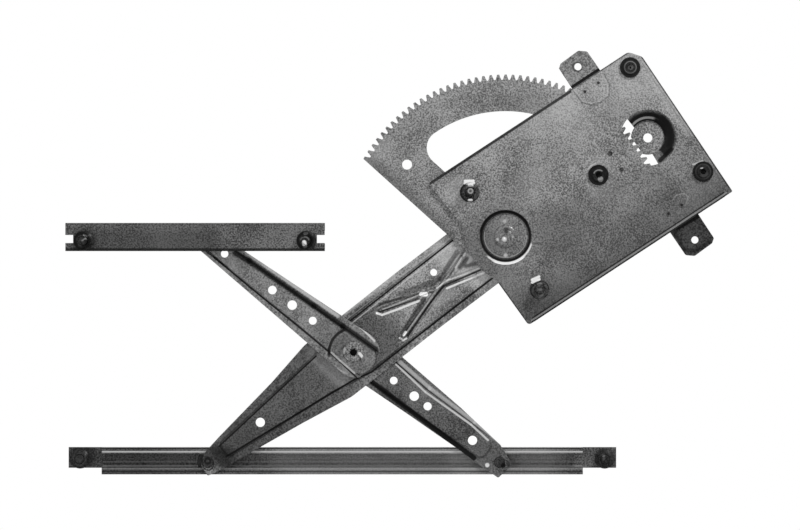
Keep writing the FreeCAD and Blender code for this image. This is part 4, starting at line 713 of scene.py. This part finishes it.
# Painted light and shade on the pivot's head.
pivot_marks = gathered({
    "shade over the middle": spot((506.5, 230.4), 1.4, 2.4, 34, 0.8),
    "bright middle": spot((504.2, 239.4), 1.1, 2.0, 220, 0.85),
    "light on the left": spot((497.2, 239.6), 0.6, 1.5, 200, 0.75),
    "light on the right": spot((512.6, 236.8), 0.3, 1.2, 190, 0.65),
    "shade at the lower left": ring(PIVOT, 9.0, 0.2, 0.9, 70, 0.4, 215.0, 60.0),
})
# Painted shade in the hub's hole and at its lower right, painted highlights on its three stakes and under the
# hole.
hub_marks = gathered({
    "hole": ring(HUB_HOLE, 0.0, 2.8, 0.5, 4, 1.0),
    "shade at the lower right": ring(HUB_HOLE, 8.0, 0.2, 1.0, 60, 0.4, -60.0, 60.0),
    "right stake, painted highlight": along([(359.6, 353.5), (365.0, 359.8)], 0.8, 1.0, 225, 0.95),
    "left stake, painted highlight": along([(341.6, 354.0), (344.6, 349.2)], 0.8, 1.2, 175, 0.7),
    "lower stake, painted highlight": along([(350.6, 362.5), (351.6, 365.2)], 0.5, 1.0, 175, 0.7),
    "light under the hole": along([(351.4, 357.4), (354.8, 357.4)], 0.1, 0.6, 170, 0.7),
})
print("marks on the hardware:", len(collar_marks + nut_marks + dark_nut_marks + pivot_marks + hub_marks))

# %% [markdown]
# Each finish is the grain group with its own values, then its marks, then a Principled shader whose metallic
# share says how much of the light it mirrors. Plated sheet mirrors about a third: the rest is scattered by
# the crystals of the zinc. The marks are laid over each other by plain arithmetic on one number, which takes
# the least room in the renderer's stack. A finish is given by its lightest and darkest grey, its marks, how
# metallic and how glossy it is, how strong its grain is, and how much shade is painted on its walls.

# %% Finishes
GRAIN_SCALE = 700.0
CLOUD_SCALE = 22.0
CLOUD_AMOUNT = 1.9
BUMP_STRENGTH = 0.15
BUMP_DEPTH = 0.0004
SHINE = 0.12
SHEET_GLOSS = (0.34, 0.55)
NUT_GLOSS = (0.26, 0.42)
STUD_GLOSS = (0.3, 0.46)


def plated(name, light, dark, marks=(), metal=0.3, gloss=SHEET_GLOSS, grain=3.0, edge=0.5):
    """A plated or oiled steel finish."""
    made = bpy.data.materials.new(name)
    node = own_nodes(made)
    skin = node("ShaderNodeGroup", {"node_tree": grain_and_wall_shade_group})
    values = {
        "Light": linear(light),
        "Dark": linear(dark),
        "Grain Scale": GRAIN_SCALE,
        "Grain Amount": grain,
        "Cloud Scale": CLOUD_SCALE,
        "Cloud Amount": CLOUD_AMOUNT,
        "Edge Shade": edge,
        "Smooth": gloss[0],
        "Rough": gloss[1],
    }
    for label, value in values.items():
        skin.inputs[label].default_value = value
    tone = skin.outputs["Color"]
    for group, places, grey, cover in marks:
        mark = node("ShaderNodeGroup", {"node_tree": group})
        for label, value in places.items():
            mark.inputs[label].default_value = value
        amount = maths(node, "MULTIPLY", mark.outputs["Mask"], cover)
        left = maths(node, "SUBTRACT", 1.0, amount)
        paint = maths(node, "MULTIPLY", amount, linear(grey)[0])
        tone = node("ShaderNodeMath", {"operation": "MULTIPLY_ADD"}, n0=tone, n1=left, n2=paint).outputs[0]
    height = skin.outputs["Height"]
    bump = node("ShaderNodeBump", Strength=BUMP_STRENGTH, Distance=BUMP_DEPTH, Height=height)
    face = node(
        "ShaderNodeBsdfPrincipled",
        Base_Color=tone,
        Roughness=skin.outputs["Roughness"],
        Normal=bump.outputs["Normal"],
        Metallic=metal,
        Specular_IOR_Level=SHINE,
    )
    node("ShaderNodeOutputMaterial", Surface=face.outputs[0])
    return made


FINISHES = {
    "plate_zinc": dict(light=170, dark=82, marks=plate_marks, grain=4.0),
    "sector_zinc": dict(light=168, dark=84, marks=sector_marks, grain=3.8),
    "lift_zinc": dict(light=176, dark=87, marks=lift_marks, grain=3.8),
    "upper_zinc": dict(light=154, dark=74, marks=upper_marks),
    "lower_zinc": dict(light=122, dark=50, marks=lower_marks, edge=0.2),
    "guide_zinc": dict(light=126, dark=54, marks=guide_marks, grain=4.6, edge=0.3),
    "sash_zinc": dict(light=114, dark=44, marks=sash_marks, grain=4.6),
    "tab_zinc": dict(light=156, dark=78, marks=upper_tab_marks, grain=3.8),
    # The lower tab's zinc, made darker as painted shade.
    "tab_zinc_shaded": dict(light=76, dark=24, marks=lower_tab_marks, grain=4.4),
    "collar_black": dict(light=50, dark=14, marks=collar_marks, metal=0.1, gloss=(0.5, 0.7), edge=0.2),
    "nut_zinc": dict(light=104, dark=18, marks=nut_marks, metal=0.4, gloss=NUT_GLOSS, edge=0.35),
    "nut_black": dict(light=64, dark=16, marks=dark_nut_marks, metal=0.4, gloss=NUT_GLOSS, edge=0.35),
    "pivot_steel": dict(
        light=130, dark=46, marks=pivot_marks, metal=0.4, gloss=STUD_GLOSS, grain=3.8, edge=0.12
    ),
    "hub_steel": dict(light=158, dark=50, marks=hub_marks, metal=0.4, gloss=STUD_GLOSS, grain=4.0, edge=0.2),
    "bolt_zinc": dict(light=110, dark=46, metal=0.7, gloss=(0.2, 0.36), edge=0.35),
    "rivet_steel": dict(light=156, dark=70, metal=0.4, gloss=NUT_GLOSS, edge=0.3),
    "stud_dull": dict(light=76, dark=22, marks=stud_marks, metal=0.4, gloss=STUD_GLOSS, edge=0.4),
    "roller_nylon": dict(light=60, dark=34, metal=0.0, gloss=(0.45, 0.6), edge=0.0),
}
finishes = {name: plated(name, **values) for name, values in FINISHES.items()}
print("finishes:", ", ".join(finishes))

# %% [markdown]
# Every node of the frame gets a finish, also the eight that finer pieces take the place of further below.

# %% Dress the frame
DRESS = {
    "back_plate": "plate_zinc",
    "upper_mount_tab": "tab_zinc",
    "lower_mount_tab": "tab_zinc_shaded",
    "mount_tab_rivets": "plate_zinc",
    "motor_mount_bushes": "collar_black",
    "back_plate_studs": "bolt_zinc",
    "back_plate_nuts": "nut_zinc",
    "main_pivot_rivet": "rivet_steel",
    "main_pivot_washer": "rivet_steel",
    "guide_channel": "guide_zinc",
    "guide_channel_studs": "bolt_zinc",
    "guide_channel_nuts": "bolt_zinc",
    "sector_gear": "sector_zinc",
    "lift_arm": "lift_zinc",
    "sector_rivets": "rivet_steel",
    "lift_roller_stud": "stud_dull",
    "cross_arm_upper": "upper_zinc",
    "cross_arm_lower": "lower_zinc",
    "cross_pivot_hub": "hub_steel",
    "guide_roller_stud": "rivet_steel",
    "cross_roller_stud": "stud_dull",
    "lift_roller": "roller_nylon",
    "cross_roller": "roller_nylon",
    "guide_roller": "roller_nylon",
    "sash_channel": "sash_zinc",
    "sash_studs": "bolt_zinc",
    "sash_nuts": "bolt_zinc",
}
for name, finish in DRESS.items():
    nodes[name].data.materials.clear()
    nodes[name].data.materials.append(finishes[finish])
print("dressed:", len(DRESS), "of", len(nodes))

# %% [markdown]
# Turned hardware is made as on a lathe: a half outline of radius and depth is spun about the part's axis. The
# alternative, stacking cylinders, leaves hard steps where the real piece has chamfers and dished faces. One
# helper spins an outline, one cuts off all that lies past a plane and closes the cut, and one collects
# several shapes in one piece.

# %% Lathe
TURN = 2 * math.pi
DEPTH = Vector((0.0, 1.0, 0.0))
SMOOTH_UNDER = math.radians(35.0)
WELD = 1e-6
OFF_SEAT = 0.02
PLATE_SEAT = FRONT * 1000 - OFF_SEAT


def spun(outline, centre, steps, turns=1, rise=0.0, closed=True):
    """A shape spun from an outline of (radius, depth) in millimetres about a centre (x, z) in metres."""
    shape = bmesh.new()
    x, z = centre
    points = [shape.verts.new((x + radius / 1000, depth / 1000, z)) for radius, depth in outline]
    edges = [shape.edges.new(pair) for pair in zip(points, points[1:])]
    bmesh.ops.spin(
        shape,
        geom=points + edges,
        cent=(x, 0.0, z),
        axis=DEPTH,
        dvec=(0.0, rise / 1000 / steps, 0.0),
        angle=TURN * turns,
        steps=steps * turns,
        use_merge=closed,
        use_duplicate=False,
    )
    return shape


def turned(outline, centre, steps=48):
    """A closed shape, as a lathe makes it."""
    shape = spun(outline, centre, steps)
    bmesh.ops.remove_doubles(shape, verts=shape.verts, dist=WELD)
    bmesh.ops.recalc_face_normals(shape, faces=shape.faces)
    return shape


def trimmed(shape, place, outwards):
    """Cuts off what lies past a plane, and closes the cut."""
    cut = bmesh.ops.bisect_plane(
        shape,
        geom=shape.verts[:] + shape.edges[:] + shape.faces[:],
        plane_co=place,
        plane_no=outwards,
        clear_outer=True,
    )
    rim = [part for part in cut["geom_cut"] if isinstance(part, bmesh.types.BMEdge)]
    bmesh.ops.contextual_create(shape, geom=rim)


def piece(name, shapes, finish, body, slot, *stands_for):
    """One object from several shapes, dressed, riding on its body in place of the solids it stands for."""
    whole = bmesh.new()
    for shape in shapes:
        mesh = bpy.data.meshes.new("passing")
        shape.to_mesh(mesh)
        shape.free()
        whole.from_mesh(mesh)
        bpy.data.meshes.remove(mesh)
    for edge in whole.edges:
        edge.smooth = edge.calc_face_angle(math.pi) < SMOOTH_UNDER
    for face in whole.faces:
        face.smooth = True
    mesh = bpy.data.meshes.new(name)
    whole.to_mesh(mesh)
    whole.free()
    made = bpy.data.objects.new(name, mesh)
    bpy.context.scene.collection.objects.link(made)
    made.data.materials.append(finishes[finish])
    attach(made, body)
    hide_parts(*stands_for)
    print(name, len(mesh.polygons), "faces")


print("lathe ready")

# %% [markdown]
# The nuts are flange nuts, 13 mm across flats. A real one starts as a turned blank with a chamfered edge, and
# six cuts then make its flats, which is what gives the curved edge where chamfer and flat meet. The same is
# done here: the blank is spun, and a plane cuts it six times. Each nut stopped at its own angle.

# %% Nuts
FLATS = 13.0
CORNER = FLATS / 2 / math.cos(math.pi / 6) + 0.1
NUT_BORE = 3.9
NUT_MOUTH = 4.5
NUT_FACE = FLATS / 2 - 0.25
CHAMFER = 0.95
HEX_FOOT = 1.2
FLANGE_RADIUS = 8.95
FLANGE = [
    (4.0, OFF_SEAT),
    (8.75, OFF_SEAT),
    (FLANGE_RADIUS, 0.35),
    (8.85, 0.75),
    (6.9, 2.1),
    (6.2, 2.6),
    (4.0, 2.6),
    (4.0, OFF_SEAT),
]


def nut_places(node):
    """The two nuts' centres in metres, and their front and rear in millimetres."""
    low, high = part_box(node)
    half = FLANGE_RADIUS / 1000
    rising = node != "back_plate_nuts"
    left_z = (low[2] + half) if rising else (high[2] - half)
    right_z = (high[2] - half) if rising else (low[2] + half)
    centres = [(low[0] + half, left_z), (high[0] - half, right_z)]
    return centres, low[1] * 1000, high[1] * 1000


def hex_nut(centre, front, rear, angle):
    """A flange nut's hexagon and flange, with its front at a depth in millimetres."""
    outline = [
        (NUT_BORE, front + 0.5),
        (NUT_MOUTH, front),
        (NUT_FACE, front),
        (CORNER, front + CHAMFER),
        (CORNER, rear - HEX_FOOT),
        (NUT_BORE, rear - HEX_FOOT),
        (NUT_BORE, front + 0.5),
    ]
    blank = turned(outline, centre, steps=72)
    for index in range(6):
        way = math.radians(angle + 60 * index)
        normal = Vector((math.cos(way), 0.0, math.sin(way)))
        trimmed(blank, Vector((centre[0], 0.0, centre[1])) + normal * FLATS / 2000, normal)
    bmesh.ops.recalc_face_normals(blank, faces=blank.faces)
    flange = turned([(radius, rear - rise) for radius, rise in FLANGE], centre, steps=64)
    return [blank, flange]


NUTS = {
    "back_plate_nuts": ("plate_nuts", "mounting", "nut_zinc", (90.0, 63.0)),
    "guide_channel_nuts": ("guide_nuts", "mounting", "nut_black", (72.0, 84.0)),
    "sash_nuts": ("glass_nuts", "sash", "nut_black", (66.0, 95.0)),
}
for node_name, (label, body, finish, angles) in NUTS.items():
    centres, front, rear = nut_places(node_name)
    shapes = []
    for centre, angle in zip(centres, angles):
        shapes += hex_nut(centre, front, rear, angle)
    piece(label, shapes, finish, body, "bolt_steel", node_name)

# %% [markdown]
# Each nut sits on a pressed-in stud, and the stud's free end shows its thread. A thread is one V of its
# outline spun with a rise of one pitch a turn, so that each turn meets the next. Two plane cuts then trim the
# helix to length and a lead taper is turned on its end. A stack of rings would be cheaper, but wouldn't look
# like a screw from the side. The thread ends just inside the nut, where a plain core takes over.

# %% Studs
PITCH = 1.25
CREST = 3.98
ROOT = 3.3
THREAD = [(ROOT, 0.0), (CREST, PITCH * 0.44), (CREST, PITCH * 0.56), (ROOT, PITCH)]
THREAD_STEPS = 24
LEAD = 0.9
THREAD_INSIDE = 1.0
CORE_INSIDE = 0.9
SHANK = 3.55
NECK = 4.3
HEAD = 6.5
HEAD_FACE = 6.1
HEAD_ROUND = 0.35


def threaded(centre, tip, base):
    """A screw thread from a tip depth to a base depth, in millimetres, closed at both ends."""
    turns = math.ceil((base - tip) / PITCH) + 1
    outline = [(radius, tip - PITCH + depth) for radius, depth in THREAD]
    shape = spun(outline, centre, THREAD_STEPS, turns, PITCH, closed=False)
    bmesh.ops.remove_doubles(shape, verts=shape.verts, dist=2 * WELD)
    trimmed(shape, DEPTH * (tip / 1000), -DEPTH)
    trimmed(shape, DEPTH * (base / 1000), DEPTH)
    for vert in shape.verts:
        lead = (tip + LEAD) / 1000 - vert.co.y
        if lead > 0:
            offset = Vector((vert.co.x - centre[0], 0.0, vert.co.z - centre[1]))
            if offset.length > WELD:
                offset.length = min(offset.length, CREST / 1000 - lead)
            vert.co = Vector((centre[0] + offset.x, vert.co.y, centre[1] + offset.z))
    bmesh.ops.recalc_face_normals(shape, faces=shape.faces)
    return shape


def shank(front, seat, rear, head):
    """The outline of a stud's core, neck and pressed-in head."""
    return [
        (0.0, front),
        (SHANK, front),
        (SHANK, seat),
        (NECK, seat),
        (NECK, rear - head),
        (HEAD, rear - head),
        (HEAD, rear - HEAD_ROUND),
        (HEAD_FACE, rear),
        (0.0, rear),
    ]


STUDS = {
    "back_plate_studs": ("plate_studs", "mounting", "nut_zinc", "back_plate_nuts", 1.0),
    "guide_channel_studs": ("guide_studs", "mounting", "nut_black", "guide_channel_nuts", 1.5),
    "sash_studs": ("glass_studs", "sash", "nut_black", "sash_nuts", 1.5),
}
for node_name, (label, body, finish, nut_node, head) in STUDS.items():
    low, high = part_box(node_name)
    tip = low[1] * 1000
    rear = high[1] * 1000
    centres, nut_front, seat = nut_places(nut_node)
    shapes = []
    for centre in centres:
        shapes.append(threaded(centre, tip, nut_front + THREAD_INSIDE))
        shapes.append(turned(shank(nut_front + CORE_INSIDE, seat, rear, head), centre, steps=40))
    piece(label, shapes, finish, body, "bolt_steel", node_name)

# %% [markdown]
# Three black collars carry the motor. Each is a turned flange with a raised neck about a blind hole. In the
# picture the neck's bright ring stands in a dark dish, so the outline has a shallow groove there. The front
# part of each outline is given as radius and depth behind the frontmost face.

# %% Collars
BUSHES = {"top": (177.4, 65.7), "right": (180.9, -48.9), "middle": (100.3, 0.3)}
BUSH_HOLE = 2.5
BUSH_NECK = 6.2
BUSH_CLINCH = 6.7
BUSH_EDGE = 9.2
CLINCH_RISE = 0.8
COLLAR_FACE = [
    (BUSH_HOLE, 0.6),
    (3.1, 0.0),
    (4.9, 0.0),
    (5.6, 0.5),
    (6.1, 1.5),
    (7.2, 1.9),
    (8.7, 1.7),
    (BUSH_EDGE, 2.2),
]

low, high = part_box("motor_mount_bushes")
front = low[1] * 1000
rear = high[1] * 1000
collar = [
    (0.0, rear - CLINCH_RISE),
    (BUSH_HOLE, rear - CLINCH_RISE),
    *[(radius, front + depth) for radius, depth in COLLAR_FACE],
    (BUSH_EDGE, PLATE_SEAT),
    (BUSH_NECK, PLATE_SEAT),
    (BUSH_NECK, rear - CLINCH_RISE),
    (BUSH_CLINCH, rear),
    (0.0, rear),
]
shapes = [turned(collar, on_plate(u, v)) for u, v in BUSHES.values()]
piece("motor_collars", shapes, "collar_black", "mounting", "black_collar", "motor_mount_bushes")

# %% [markdown]
# The main pivot's head was formed by a turning punch, which leaves rings: a flat rim, a groove, and a raised
# middle with a small dimple.

# %% Main pivot
PIVOT_SHANK = 5.95
PIVOT_EDGE = 10.4
REAR_HEAD = 10.2
REAR_HEAD_FACE = 8.8
REAR_HEAD_RISE = 1.8
PIVOT_FACE = [
    (0.0, 0.7),
    (1.3, 0.62),
    (2.2, 0.12),
    (2.9, 0.0),
    (4.6, 0.05),
    (5.5, 0.55),
    (6.2, 0.95),
    (7.0, 0.72),
    (8.6, 0.85),
    (9.9, 1.35),
    (PIVOT_EDGE, 1.9),
]

low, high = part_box("main_pivot_rivet")
front = low[1] * 1000
rear = high[1] * 1000
rivet = [
    *[(radius, front + depth) for radius, depth in PIVOT_FACE],
    (PIVOT_EDGE, PLATE_SEAT),
    (PIVOT_SHANK, PLATE_SEAT),
    (PIVOT_SHANK, rear - REAR_HEAD_RISE),
    (REAR_HEAD, rear - REAR_HEAD_RISE),
    (REAR_HEAD_FACE, rear),
    (0.0, rear),
]
shapes = [turned(rivet, PIVOT, steps=64)]
piece("pivot_rivet", shapes, "pivot_steel", "mounting", "rivet_steel", "main_pivot_rivet")
